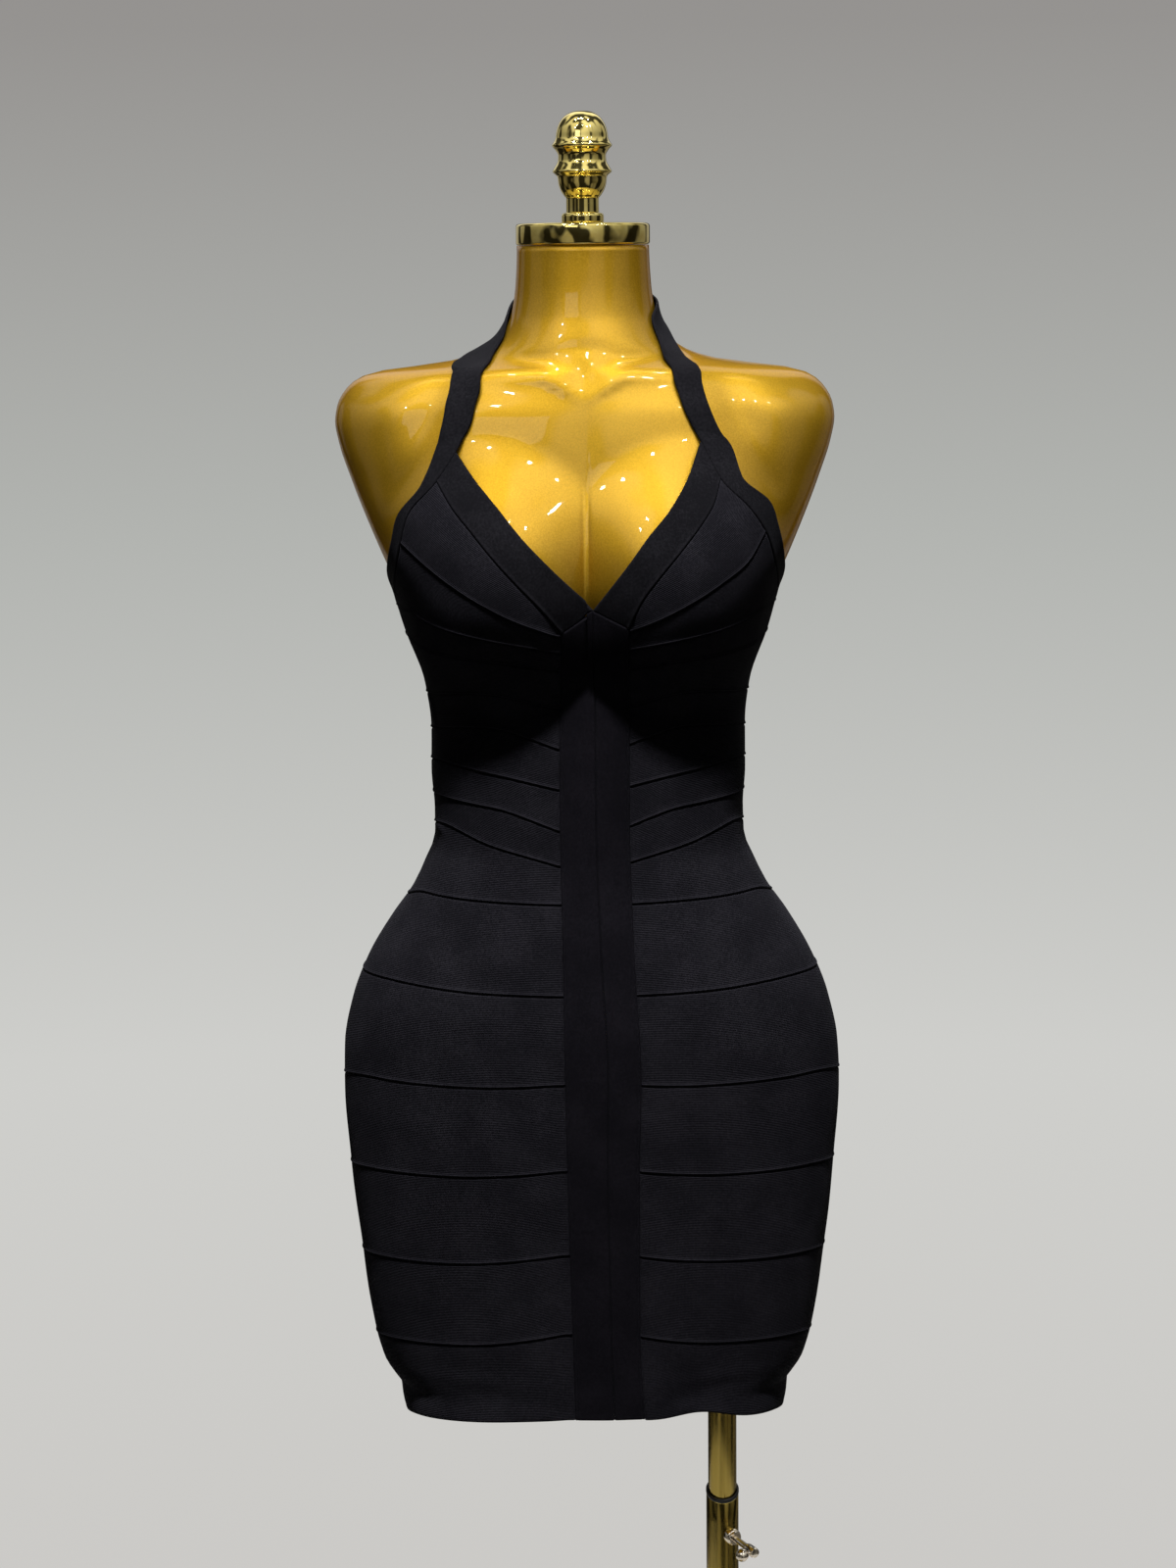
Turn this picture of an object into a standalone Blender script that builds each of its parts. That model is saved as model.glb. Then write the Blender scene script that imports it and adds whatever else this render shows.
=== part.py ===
"""A halter bodycon mini dress of sewn knit bands, worn by a limbless dress form on a telescoping stand.

Metres, +Z up, the dress faces -Y. The origin is under the centre of the base plate, on the floor.
Angles run round the body in degrees: 0 is the centre front, 90 is the +X side and 180 the centre back.
"""

import math

import bmesh
import bpy
import numpy as np
from mathutils import Matrix, Vector

# ---------------------------------------------------------------- driving sizes
CLOTH_WALL = 0.0015
CLOTH_GAP = 0.0018
EDGE_INSET = 0.0002
FIT_GAP = 0.0003
SHARP_ANGLE = 40.0
# The small steps, in degrees and in metres, over which the cloth's normal is measured.
NORMAL_STEP = (0.5, 0.0015)

FORM_BOTTOM = 0.650
FORM_TOP = 1.4963
FORM_COLUMNS = 44
FORM_ROW_HEIGHT = 0.025

POLE_X = 0.0985
INNER_TUBE_RADIUS = 0.011
INNER_TUBE_BOTTOM = 0.300
OUTER_TUBE_RADIUS = 0.0125
OUTER_TUBE_BORE = 0.0113
OUTER_TUBE_TOP = 0.5405
COLLAR_HEIGHT = 0.003
COLLAR_SLOPE = 0.36
LEVEL = (0.0, 0.0)
TUBE_SIDES = 32

BASE_RADIUS = 0.170
BASE_THICKNESS = 0.009
BASE_BEVEL = 0.003
BASE_SIDES = 64
SOCKET_RADIUS = 0.024
SOCKET_HEIGHT = 0.022

CAP_RADIUS = 0.0485
CAP_THICKNESS = 0.0153
FINIAL_SIDES = 28

SCREW_HEIGHT = 0.5095
SCREW_BEARING = 27.0
SCREW_BOSS_RADIUS = 0.0062
SCREW_BOSS_OUT = 0.0075
SCREW_SHANK_RADIUS = 0.0033
SCREW_SHANK_LENGTH = 0.030
SCREW_BAR_RADIUS = 0.0021
SCREW_BAR_REACH = 0.0095
SCREW_BAR_TILT = 4.0
SCREW_BALL_RADIUS = 0.0050
SCREW_BAR_INSET = 0.0035
SCREW_SIDES = 16

# ---------------------------------------------------------------- the body's level sections
# Each row is one level section of the form: how far it reaches sideways, forwards and backwards from the
# vertical axis, and the power of its outline (2 is an ellipse, more is squarer).
FORM_SECTIONS = (
    # height, half width, front, back, power
    (1.5200, 0.0478, 0.0460, 0.0500, 2.0),
    (1.4963, 0.0478, 0.0460, 0.0500, 2.0),
    (1.4700, 0.0490, 0.0475, 0.0515, 2.0),
    (1.4480, 0.0525, 0.0510, 0.0560, 2.0),
    (1.4330, 0.0600, 0.0560, 0.0620, 2.0),
    (1.4217, 0.0745, 0.0600, 0.0670, 1.9),
    (1.4150, 0.0960, 0.0630, 0.0710, 1.7),
    (1.4110, 0.1250, 0.0650, 0.0735, 1.6),
    (1.4085, 0.1460, 0.0665, 0.0750, 1.6),
    (1.4045, 0.1610, 0.0685, 0.0775, 1.7),
    (1.3960, 0.1730, 0.0720, 0.0820, 1.8),
    (1.3830, 0.1805, 0.0765, 0.0870, 1.95),
    (1.3720, 0.1822, 0.0795, 0.0900, 2.0),
    (1.3560, 0.1794, 0.0830, 0.0945, 2.1),
    (1.3300, 0.1710, 0.0870, 0.0990, 2.2),
    (1.3060, 0.1620, 0.0900, 0.1010, 2.3),
    (1.2800, 0.1515, 0.0910, 0.1010, 2.3),
    (1.2530, 0.1400, 0.0905, 0.0985, 2.3),
    (1.2200, 0.1300, 0.0890, 0.0945, 2.3),
    (1.1810, 0.1170, 0.0865, 0.0880, 2.3),
    (1.1490, 0.1130, 0.0845, 0.0820, 2.3),
    (1.1150, 0.1135, 0.0830, 0.0765, 2.3),
    (1.0870, 0.1115, 0.0820, 0.0735, 2.3),
    (1.0650, 0.1120, 0.0820, 0.0735, 2.3),
    (1.0430, 0.1205, 0.0835, 0.0780, 2.3),
    (1.0240, 0.1300, 0.0855, 0.0850, 2.3),
    (1.0000, 0.1465, 0.0885, 0.0960, 2.3),
    (0.9700, 0.1640, 0.0915, 0.1100, 2.35),
    (0.9400, 0.1760, 0.0940, 0.1210, 2.4),
    (0.9080, 0.1825, 0.0950, 0.1260, 2.4),
    (0.8700, 0.1838, 0.0950, 0.1255, 2.4),
    (0.8200, 0.1805, 0.0935, 0.1180, 2.4),
    (0.7590, 0.1745, 0.0905, 0.1060, 2.4),
    (0.7000, 0.1670, 0.0870, 0.0960, 2.4),
    (0.6720, 0.1615, 0.0845, 0.0920, 2.4),
    (0.6600, 0.1555, 0.0820, 0.0895, 2.4),
    (0.6530, 0.1480, 0.0780, 0.0860, 2.4),
    (0.6500, 0.1400, 0.0730, 0.0810, 2.4),
)
# Below the form's end the skirt hangs free and draws in towards its hem.
SKIRT_SECTIONS = (
    # height, half width, front, back, power
    (0.6720, 0.1615, 0.0845, 0.0920, 2.4),
    (0.6610, 0.1578, 0.0840, 0.0910, 2.4),
    (0.6530, 0.1520, 0.0832, 0.0900, 2.5),
    (0.6440, 0.1457, 0.0822, 0.0885, 2.6),
    (0.6300, 0.1440, 0.0810, 0.0870, 2.8),
    (0.6150, 0.1400, 0.0795, 0.0855, 2.8),
    (0.6000, 0.1340, 0.0780, 0.0840, 2.8),
)
SKIRT_TOP = 0.672

# Each bust mound: its centre, how far it stands out, and its reach each way.
BUST_X = 0.0700
BUST_HEIGHT = 1.2620
BUST_DEPTH = 0.0390
# The relief fades out towards the sides: it is whole where the cosine of the angle is over a third.
BUST_FACING = 3.0
FORM_BUST_REACH = {"in": 0.0960, "out": 0.0840, "up": 0.1040, "down": 0.0760, "power": 1.8}
CLOTH_BUST_REACH = {"in": 0.1100, "out": 0.0900, "up": 0.1040, "down": 0.0980, "power": 1.35}


# ---------------------------------------------------------------- curves and surfaces
def smooth_curve(xs, ys, at):
    """The monotone cubic through the points (xs, ys), xs rising, read at each value in at."""
    xs, ys, at = np.asarray(xs, float), np.asarray(ys, float), np.asarray(at, float)
    step = np.diff(xs)
    slope = np.diff(ys) / step
    tangent = np.empty_like(ys)
    tangent[0], tangent[-1] = slope[0], slope[-1]
    for i in range(1, len(xs) - 1):
        a, b = slope[i - 1], slope[i]
        w1, w2 = 2 * step[i] + step[i - 1], step[i] + 2 * step[i - 1]
        tangent[i] = 0.0 if a * b <= 0 else (w1 + w2) / (w1 / a + w2 / b)
    k = np.clip(np.searchsorted(xs, at, side="right") - 1, 0, len(xs) - 2)
    t = np.clip((at - xs[k]) / step[k], 0.0, 1.0)
    return (
        (2 * t**3 - 3 * t**2 + 1) * ys[k]
        + (t**3 - 2 * t**2 + t) * step[k] * tangent[k]
        + (3 * t**2 - 2 * t**3) * ys[k + 1]
        + (t**3 - t**2) * step[k] * tangent[k + 1]
    )


def section_at(table, height):
    """Half width, front, back and power of the level section at each height."""
    rows = np.array(sorted(table))
    return [smooth_curve(rows[:, 0], rows[:, i], height) for i in range(1, 5)]


def level_radius(table, angle, height):
    """How far the section's outline lies from the vertical axis, in the direction of angle (radians)."""
    half_width, front, back, power = section_at(table, height)
    across, along = np.abs(np.sin(angle)), np.abs(np.cos(angle))
    depth = np.where(np.cos(angle) > 0, front, back)
    return ((across / half_width) ** power + (along / depth) ** power) ** (-1 / power)


def bust_relief(x, height, reach):
    """How far the two bust mounds stand out of the chest, forwards."""
    total = np.zeros(np.broadcast(x, height).shape)
    for side in (-1, 1):
        sideways = side * x - BUST_X
        upwards = height - BUST_HEIGHT
        across = sideways / np.where(sideways > 0, reach["out"], reach["in"])
        along = upwards / np.where(upwards > 0, reach["up"], reach["down"])
        mound = np.clip(1 - across**2 - along**2, 0, None) ** reach["power"]
        total = np.maximum(total, mound)
    return BUST_DEPTH * total


def body_point(angle, height, table, reach):
    """A point on the body's skin; angle in degrees."""
    angle, height = np.broadcast_arrays(np.radians(angle), np.asarray(height, float))
    radius = level_radius(table, angle, height)
    x, y = radius * np.sin(angle), -radius * np.cos(angle)
    facing = np.clip(np.cos(angle) * BUST_FACING, 0, 1)
    return np.stack([x, y - facing * bust_relief(x, height, reach), height], -1)


def form_point(angle, height):
    return body_point(angle, height, FORM_SECTIONS, FORM_BUST_REACH)


def cloth_base(angle, height):
    """The skin that the cloth follows: the form, its hollows bridged, and the free skirt below its end."""
    worn = body_point(angle, height, FORM_SECTIONS, CLOTH_BUST_REACH)
    free = body_point(angle, height, SKIRT_SECTIONS, CLOTH_BUST_REACH)
    return np.where((np.asarray(worn)[..., 2] < SKIRT_TOP)[..., None], free, worn)


def cloth_point(angle, height, lift=CLOTH_GAP):
    """A point on the cloth, lift outside the skin that it follows."""
    turn, rise = NORMAL_STEP
    across = cloth_base(angle + turn, height) - cloth_base(angle - turn, height)
    upwards = cloth_base(angle, height + rise) - cloth_base(angle, height - rise)
    normal = np.cross(across, upwards)
    normal /= np.linalg.norm(normal, axis=-1, keepdims=True)
    return cloth_base(angle, height) + lift * normal


def angle_at(x, height):
    """The angle at which the cloth's front lies at this x."""
    x, height = np.broadcast_arrays(np.asarray(x, float), np.asarray(height, float))
    low, high = np.full(x.shape, -90.0), np.full(x.shape, 90.0)
    for _ in range(30):
        middle = (low + high) / 2
        inside = cloth_base(middle, height)[..., 0] < x
        low, high = np.where(inside, middle, low), np.where(inside, high, middle)
    return (low + high) / 2


# ---------------------------------------------------------------- the cloth's seams
# The front's two middle strips: x of their outer edges and of the seam between them, from neck to hem.
PANEL_COLUMNS = ("height", "left_edge", "middle", "right_edge")
PANEL_EDGES = (
    (1.2450, -0.0190, 0.0053, 0.0304),
    (1.0870, -0.0208, 0.0050, 0.0292),
    (0.9890, -0.0198, 0.0078, 0.0318),
    (0.9020, -0.0193, 0.0118, 0.0361),
    (0.8200, -0.0183, 0.0112, 0.0342),
    (0.7030, -0.0160, 0.0125, 0.0341),
    (0.6200, -0.0143, 0.0150, 0.0381),
)
# The level seams: their heights at the middle strips, on the front quarter, the flank, the side and the back.
SEAM_ANGLES = (14.0, 45.0, 70.0, 97.0, 180.0)
LEVEL_SEAMS = {
    # middle, quarter, flank, side, back
    "underbust": (1.1710, 1.1830, 1.1770, 1.1710, 1.1520),
    "midriff_1": (1.1410, 1.1555, 1.1510, 1.1430, 1.1270),
    "midriff_2": (1.1113, 1.1215, 1.1260, 1.1200, 1.1020),
    "midriff_3": (1.0805, 1.0965, 1.0995, 1.0975, 1.0760),
    "waist": (1.0546, 1.0680, 1.0790, 1.0715, 1.0490),
    "high_hip": (1.0270, 1.0275, 1.0270, 1.0150, 1.0090),
    "hip_1": (0.9608, 0.9622, 0.9650, 0.9600, 0.9480),
    "hip_2": (0.8957, 0.8930, 0.8930, 0.8800, 0.8820),
    "hip_3": (0.8308, 0.8250, 0.8223, 0.8120, 0.8170),
    "hip_4": (0.7657, 0.7577, 0.7535, 0.7440, 0.7530),
    "hip_5": (0.7033, 0.6935, 0.6880, 0.6770, 0.6900),
    "hem": (0.6347, 0.6312, 0.6265, 0.6150, 0.6260),
}
# The hem rides up a little on the +X quarter: by how much, at which angle and over how many degrees.
HEM_LIFT, HEM_LIFT_ANGLE, HEM_LIFT_REACH = 0.0065, 46.0, 11.0
# The cup's seams below its upper band, from the middle strips round to the strap, as (angle, height).
CUP_SEAMS = {
    "cup_1": ((14.0, 1.2265), (30.0, 1.2375), (42.0, 1.2495), (52.0, 1.2625), (59.0, 1.2745)),
    "cup_2": ((14.0, 1.2150), (30.0, 1.2205), (45.0, 1.2260), (60.0, 1.2325), (72.0, 1.2400)),
    "cup_3": ((14.0, 1.2015), (30.0, 1.2055), (45.0, 1.2090), (65.0, 1.2130), (82.0, 1.2185)),
}
# Each strap from the nape over the shoulder and down beside the cup: its two edges, as angle and height.
STRAPS = {
    # inner angle, inner height, outer angle, outer height
    "left": (
        (180.0, 1.4740, 180.0, 1.4540),
        (140.0, 1.4690, 140.0, 1.4490),
        (112.0, 1.4590, 116.0, 1.4390),
        (86.0, 1.4455, 101.0, 1.4290),
        (70.0, 1.4330, 88.0, 1.4205),
        (62.5, 1.4200, 74.0, 1.4130),
        (53.0, 1.4075, 62.5, 1.4060),
        (48.8, 1.3915, 58.0, 1.3900),
        (48.2, 1.3740, 56.6, 1.3740),
        (49.6, 1.3610, 56.4, 1.3590),
        (50.7, 1.3522, 56.9, 1.3490),
        (55.0, 1.3317, 59.4, 1.3285),
        (62.1, 1.3093, 66.0, 1.3070),
        (66.1, 1.2887, 70.3, 1.2880),
        (70.5, 1.2721, 75.5, 1.2735),
        (79.0, 1.2520, 85.5, 1.2565),
        (92.0, 1.2290, 97.0, 1.2370),
        (105.0, 1.2110, 105.0, 1.2235),
    ),
    "right": (
        (180.0, 1.4740, 180.0, 1.4540),
        (140.0, 1.4690, 140.0, 1.4490),
        (110.0, 1.4610, 112.0, 1.4410),
        (80.0, 1.4530, 93.0, 1.4350),
        (62.5, 1.4440, 79.0, 1.4285),
        (57.5, 1.4290, 69.5, 1.4210),
        (50.0, 1.4140, 60.5, 1.4110),
        (45.0, 1.3990, 54.6, 1.3990),
        (44.4, 1.3840, 52.8, 1.3830),
        (45.6, 1.3700, 53.6, 1.3670),
        (47.3, 1.3580, 55.7, 1.3540),
        (51.3, 1.3320, 57.4, 1.3330),
        (58.0, 1.3130, 64.4, 1.3155),
        (63.8, 1.2945, 68.2, 1.2975),
        (69.5, 1.2740, 74.5, 1.2760),
        (79.0, 1.2530, 85.0, 1.2575),
        (92.0, 1.2290, 97.0, 1.2370),
        (105.0, 1.2110, 105.0, 1.2235),
    ),
}
# Where each seam meets the strap's inner edge, in rows of its table, counted from the nape.
NECK_CORNER = 10
CUP_APEX = 11
CUP_SEAM_ENDS = {"cup_1": 13.0, "cup_2": 15.5, "cup_3": 16.5}
STRAP_END = 17
# The bound edge across the back, from the left strap's end to the right one's.
BACK_EDGE_COLUMNS = ("angle", "lower_height", "upper_height")
BACK_EDGE = (
    (105.0, 1.2110, 1.2235),
    (125.0, 1.1960, 1.2070),
    (150.0, 1.1850, 1.1965),
    (180.0, 1.1800, 1.1920),
)
# The neck's two bands, from the point of the neck up to the straps.
NECK_BANDS = {
    # inner x, inner height, outer x, outer height
    "left": (
        (0.0053, 1.2445, -0.0190, 1.2288),
        (-0.0120, 1.2610, -0.0337, 1.2469),
        (-0.0300, 1.2790, -0.0490, 1.2634),
        (-0.0450, 1.2950, -0.0645, 1.2806),
        (-0.0600, 1.3135, -0.0800, 1.2995),
        (-0.0760, 1.3325, -0.0930, 1.3150),
    ),
    "right": (
        (0.0053, 1.2445, 0.0304, 1.2322),
        (0.0170, 1.2595, 0.0395, 1.2515),
        (0.0300, 1.2765, 0.0510, 1.2672),
        (0.0445, 1.2960, 0.0670, 1.2862),
        (0.0580, 1.3120, 0.0800, 1.3025),
        (0.0700, 1.3310, 0.0895, 1.3170),
    ),
}
SIDES = {"left": -1, "right": 1}
BAND_COLUMNS_ROUND = 20
# Where the body turns most sharply, and how many more columns the level bands have there.
FLANK_TURNS = ((68.0, 1.8), (118.0, 1.0))
# How far the band below the cups is cut back from their seam: at the front and, over these angles, the flank.
SEAM_EASE, FLANK_EASE, FLANK_EASE_FROM, FLANK_EASE_OVER = 0.0003, 0.0008, 60.0, 20.0
FLANK_WIDTH = 22.0
MIDDLE_STRIP_ROWS = 26
BACK_BINDING_STEPS = 16
BAND_ROW_HEIGHT = 0.0325
CUP_STEPS = 12

# ---------------------------------------------------------------- turned hardware, as (radius, height)
FINIAL_PROFILE = (
    (0.0146, 0.0000), (0.0153, 0.0013), (0.0153, 0.0048), (0.0145, 0.0067), (0.0119, 0.0076),
    (0.0118, 0.0172), (0.0135, 0.0196), (0.0158, 0.0234), (0.0172, 0.0277), (0.0180, 0.0330),
    (0.0191, 0.0341), (0.0214, 0.0365), (0.0204, 0.0384), (0.0174, 0.0444), (0.0172, 0.0478),
    (0.0192, 0.0516), (0.0217, 0.0549), (0.0202, 0.0573), (0.0190, 0.0600), (0.0185, 0.0635),
    (0.0174, 0.0678), (0.0149, 0.0726), (0.0110, 0.0764), (0.0059, 0.0786), (0.0000, 0.0792),
)

# ---------------------------------------------------------------- materials
MATERIALS = {
    "knit": {"colour": (0.012, 0.012, 0.015), "roughness": 0.85, "metallic": 0.0},
    "form_gold": {"colour": (0.72, 0.47, 0.11), "roughness": 0.25, "metallic": 0.9},
    "brass": {"colour": (0.83, 0.66, 0.24), "roughness": 0.12, "metallic": 1.0},
    "nickel": {"colour": (0.70, 0.62, 0.50), "roughness": 0.15, "metallic": 1.0},
    "black_plastic": {"colour": (0.01, 0.01, 0.01), "roughness": 0.4, "metallic": 0.0},
}


def make_material(name):
    values = MATERIALS[name]
    material = bpy.data.materials.new(name)
    material.use_nodes = True
    shader = material.node_tree.nodes["Principled BSDF"]
    shader.inputs["Base Color"].default_value = (*values["colour"], 1.0)
    shader.inputs["Roughness"].default_value = values["roughness"]
    shader.inputs["Metallic"].default_value = values["metallic"]
    return material


# ---------------------------------------------------------------- pieces
def clear_scene():
    for obj in list(bpy.data.objects):
        bpy.data.objects.remove(obj)


def new_collection(name, hidden=False):
    collection = bpy.data.collections.new(name)
    bpy.context.scene.collection.children.link(collection)
    collection.hide_render = hidden
    return collection


def add_object(name, mesh_builder, material, collection):
    """A named object from a bmesh that is then freed, with smooth shading."""
    mesh = bpy.data.meshes.new(name)
    mesh_builder.to_mesh(mesh)
    mesh_builder.free()
    mesh.materials.append(material)
    mesh.shade_smooth()
    mesh.set_sharp_from_angle(angle=math.radians(SHARP_ANGLE))
    obj = bpy.data.objects.new(name, mesh)
    collection.objects.link(obj)
    return obj


def boolean(obj, other, operation):
    modifier = obj.modifiers.new(f"{operation.lower()}_{other.name}", "BOOLEAN")
    modifier.operation = operation
    modifier.object = other
    modifier.solver = "EXACT"


def as_helper(obj):
    obj.hide_render = True
    obj.display_type = "WIRE"
    return obj


def drawn_in(points):
    """A grid of points with each edge drawn in by EDGE_INSET, which leaves the seams' gaps."""
    drawn = points.copy()
    for axis in (0, 1):
        for edge, inside in ((0, 1), (-1, -2)):
            at_edge = np.take(points, edge, axis)
            inward = np.take(points, inside, axis) - at_edge
            inward /= np.linalg.norm(inward, axis=-1, keepdims=True)
            index = [slice(None)] * 3
            index[axis] = edge
            drawn[tuple(index)] += EDGE_INSET * inward
    return drawn


def cloth_sheet(name, side, grid, material, collection):
    """A cloth piece: a wall CLOTH_WALL thick over a grid of signed angles and heights.

    Both of its skins are moved out from the body along the same normals, so neighbours never meet."""
    if SIDES[side] < 0:
        grid = grid[:, ::-1]
    builder = bmesh.new()
    skins = []
    for lift in (CLOTH_GAP, CLOTH_GAP + CLOTH_WALL):
        points = drawn_in(cloth_point(grid[..., 0], grid[..., 1], lift))
        skins.append([[builder.verts.new(p) for p in row] for row in points])
    inner, outer = skins
    for low, high in zip(outer, outer[1:]):
        for i in range(len(low) - 1):
            builder.faces.new((low[i], low[i + 1], high[i + 1], high[i]))
    for low, high in zip(inner, inner[1:]):
        for i in range(len(low) - 1):
            builder.faces.new((low[i], high[i], high[i + 1], low[i + 1]))
    rims = (
        (inner[0], outer[0]),
        (inner[-1][::-1], outer[-1][::-1]),
        ([row[0] for row in inner][::-1], [row[0] for row in outer][::-1]),
        ([row[-1] for row in inner], [row[-1] for row in outer]),
    )
    for inside, outside in rims:
        for i in range(len(inside) - 1):
            builder.faces.new((inside[i], inside[i + 1], outside[i + 1], outside[i]))
    add_object(name, builder, material, collection)


def along(table, at):
    """The table's rows joined by smooth curves and read at each row number in at; one array a column."""
    rows = np.array(table)
    return [smooth_curve(np.arange(len(rows)), rows[:, i], at) for i in range(rows.shape[1])]


def panel_edge(column, height):
    """x of the middle strips' edges or seam at each height."""
    rows = np.array(sorted(PANEL_EDGES))
    return smooth_curve(rows[:, 0], rows[:, PANEL_COLUMNS.index(column)], height)


def level_seam(name, angle):
    """The height of a level seam at each signed angle."""
    height = smooth_curve(SEAM_ANGLES, LEVEL_SEAMS[name], np.abs(angle))
    if name == "hem":
        height = height + HEM_LIFT * np.exp(-(((angle - HEM_LIFT_ANGLE) / HEM_LIFT_REACH) ** 2))
    return height


def strap_point(side, row, edge):
    """Signed angle and height on one edge of a strap."""
    inner_angle, inner_height, outer_angle, outer_height = along(STRAPS[side], row)
    if edge == "inner":
        return SIDES[side] * inner_angle, inner_height
    return SIDES[side] * outer_angle, outer_height


def cup_seam(side, name, steps):
    """A cup's seam as signed angles and heights, from the middle strips to the strap."""
    end_angle, end_height = strap_point(side, CUP_SEAM_ENDS[name], "inner")
    rows = [*CUP_SEAMS[name], (abs(float(end_angle)), float(end_height))]
    start = float(angle_at(panel_edge(f"{side}_edge", rows[0][1]), rows[0][1]))
    angles = np.linspace(abs(start), abs(float(end_angle)), steps + 1)
    heights = smooth_curve([r[0] for r in rows], [r[1] for r in rows], angles)
    return np.stack([SIDES[side] * angles, heights], -1)


def neck_band_edge(side, edge, steps):
    """The inner or outer edge of a neck band as signed angles and heights, from the neck's point up."""
    corner = NECK_CORNER if edge == "inner" else CUP_APEX
    end_angle, end_height = strap_point(side, corner, "inner")
    end_x = float(cloth_base(end_angle, end_height)[0])
    first = 0 if edge == "inner" else 2
    rows = [row[first:first + 2] for row in NECK_BANDS[side]] + [(end_x, float(end_height))]
    x, height = along(rows, np.linspace(0, len(rows) - 1, steps + 1))
    return np.stack([angle_at(x, height), height], -1)


def strap_side(side, first, last, steps):
    """The strap's inner edge between two of its rows."""
    rows = np.linspace(first, last, steps + 1)
    return np.stack(strap_point(side, rows, "inner"), -1)


def patch(low, high, start, end):
    """A grid of angles and heights filling four edge curves that meet at their ends."""
    t = np.linspace(0, 1, len(low))[None, :, None]
    u = np.linspace(0, 1, len(start))[:, None, None]
    between = (1 - u) * low[None] + u * high[None]
    across = (1 - t) * start[:, None] + t * end[:, None]
    corners = (1 - u) * ((1 - t) * low[0] + t * low[-1]) + u * ((1 - t) * high[0] + t * high[-1])
    return between + across - corners


def straight(a, b, steps):
    t = np.linspace(0, 1, steps + 1)[:, None]
    return (1 - t) * a + t * b


def make_neck_band(side, material, collection):
    inner = neck_band_edge(side, "inner", CUP_STEPS)
    outer = neck_band_edge(side, "outer", CUP_STEPS)
    top = strap_side(side, CUP_APEX, NECK_CORNER, 2)
    grid = patch(outer, inner, straight(outer[0], inner[0], 2), top)
    # The band runs up from the neck's point, so its outer edge is its lower one.
    cloth_sheet(f"neck_band_{side}", side, grid, material, collection)


def make_cups(side, material, collection):
    edges = [("cup_band_1", neck_band_edge(side, "outer", CUP_STEPS), CUP_APEX)]
    for i, (name, end) in enumerate(CUP_SEAM_ENDS.items()):
        edges.append((f"cup_band_{i + 2}", cup_seam(side, name, CUP_STEPS), end))
    for (name, high, high_end), (_, low, low_end) in zip(edges, edges[1:]):
        steps = max(2, round(2 * (low_end - high_end)))
        end = strap_side(side, low_end, high_end, steps)
        grid = patch(low, high, straight(low[0], high[0], steps), end)
        cloth_sheet(f"{name}_{side}", side, grid, material, collection)


def band_angles(side, height):
    """The signed angles of a level band's columns, from the middle strips round to the centre back.

    They are closest together where the body turns most sharply, at its flanks."""
    start = np.abs(angle_at(panel_edge(f"{side}_edge", height), height))[..., None]
    fine = np.linspace(0, 180, 721)
    density = 1 + sum(more * np.exp(-(((fine - turn) / FLANK_WIDTH) ** 2)) for turn, more in FLANK_TURNS)
    spent = np.cumsum(density)
    first = np.interp(start, fine, spent)
    t = np.linspace(0, 1, BAND_COLUMNS_ROUND + 1)
    return SIDES[side] * np.interp(first + (spent[-1] - first) * t, spent, fine)


def back_edge(column, angle):
    """The height of the bound back edge's lower or upper side at an angle counted round either way."""
    rows = np.array(BACK_EDGE)
    folded = np.minimum(np.abs(angle), 360 - np.abs(angle))
    return smooth_curve(rows[:, 0], rows[:, BACK_EDGE_COLUMNS.index(column)], folded)


def underbust_top(side, angle):
    """The upper edge of the band below the cups: their last seam, then the strap and the bound back edge."""
    folded = np.abs(angle)
    end_angle, end_height = strap_point(side, CUP_SEAM_ENDS["cup_3"], "inner")
    rows = [*CUP_SEAMS["cup_3"], (abs(float(end_angle)), float(end_height))]
    seam = smooth_curve([r[0] for r in rows], [r[1] for r in rows], folded)
    corner = np.interp(folded, (rows[-1][0], BACK_EDGE[0][0]), (rows[-1][1], BACK_EDGE[0][1]))
    beyond = np.where(folded < BACK_EDGE[0][0], corner, back_edge("lower_height", folded))
    ease = SEAM_EASE + FLANK_EASE * np.clip((folded - FLANK_EASE_FROM) / FLANK_EASE_OVER, 0, 1)
    return np.where(folded < rows[-1][0], seam, beyond) - ease


def make_level_band(name, side, top, bottom, material, collection):
    """A band between two level edges, each a function of the signed angle that gives a height."""
    middle = SIDES[side] * SEAM_ANGLES[0]
    rows = max(2, math.ceil((float(top(middle)) - float(bottom(middle))) / BAND_ROW_HEIGHT))
    grid = []
    for share in np.linspace(0, 1, rows + 1):
        angle = band_angles(side, (1 - share) * bottom(middle) + share * top(middle))
        grid.append(np.stack([angle, (1 - share) * bottom(angle) + share * top(angle)], -1))
    cloth_sheet(f"{name}_{side}", side, np.array(grid), material, collection)


def make_level_bands(side, material, collection):
    def edge(name):
        return lambda angle: level_seam(name, angle)

    names = list(LEVEL_SEAMS)
    make_level_band(
        "underbust_band", side, lambda angle: underbust_top(side, angle), edge(names[0]), material, collection
    )
    labels = [f"{part}_band_{i}" for part in ("midriff", "hip") for i in range(1, 6)] + ["hem_band"]
    for label, top, bottom in zip(labels, names, names[1:]):
        make_level_band(label, side, edge(top), edge(bottom), material, collection)


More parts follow.
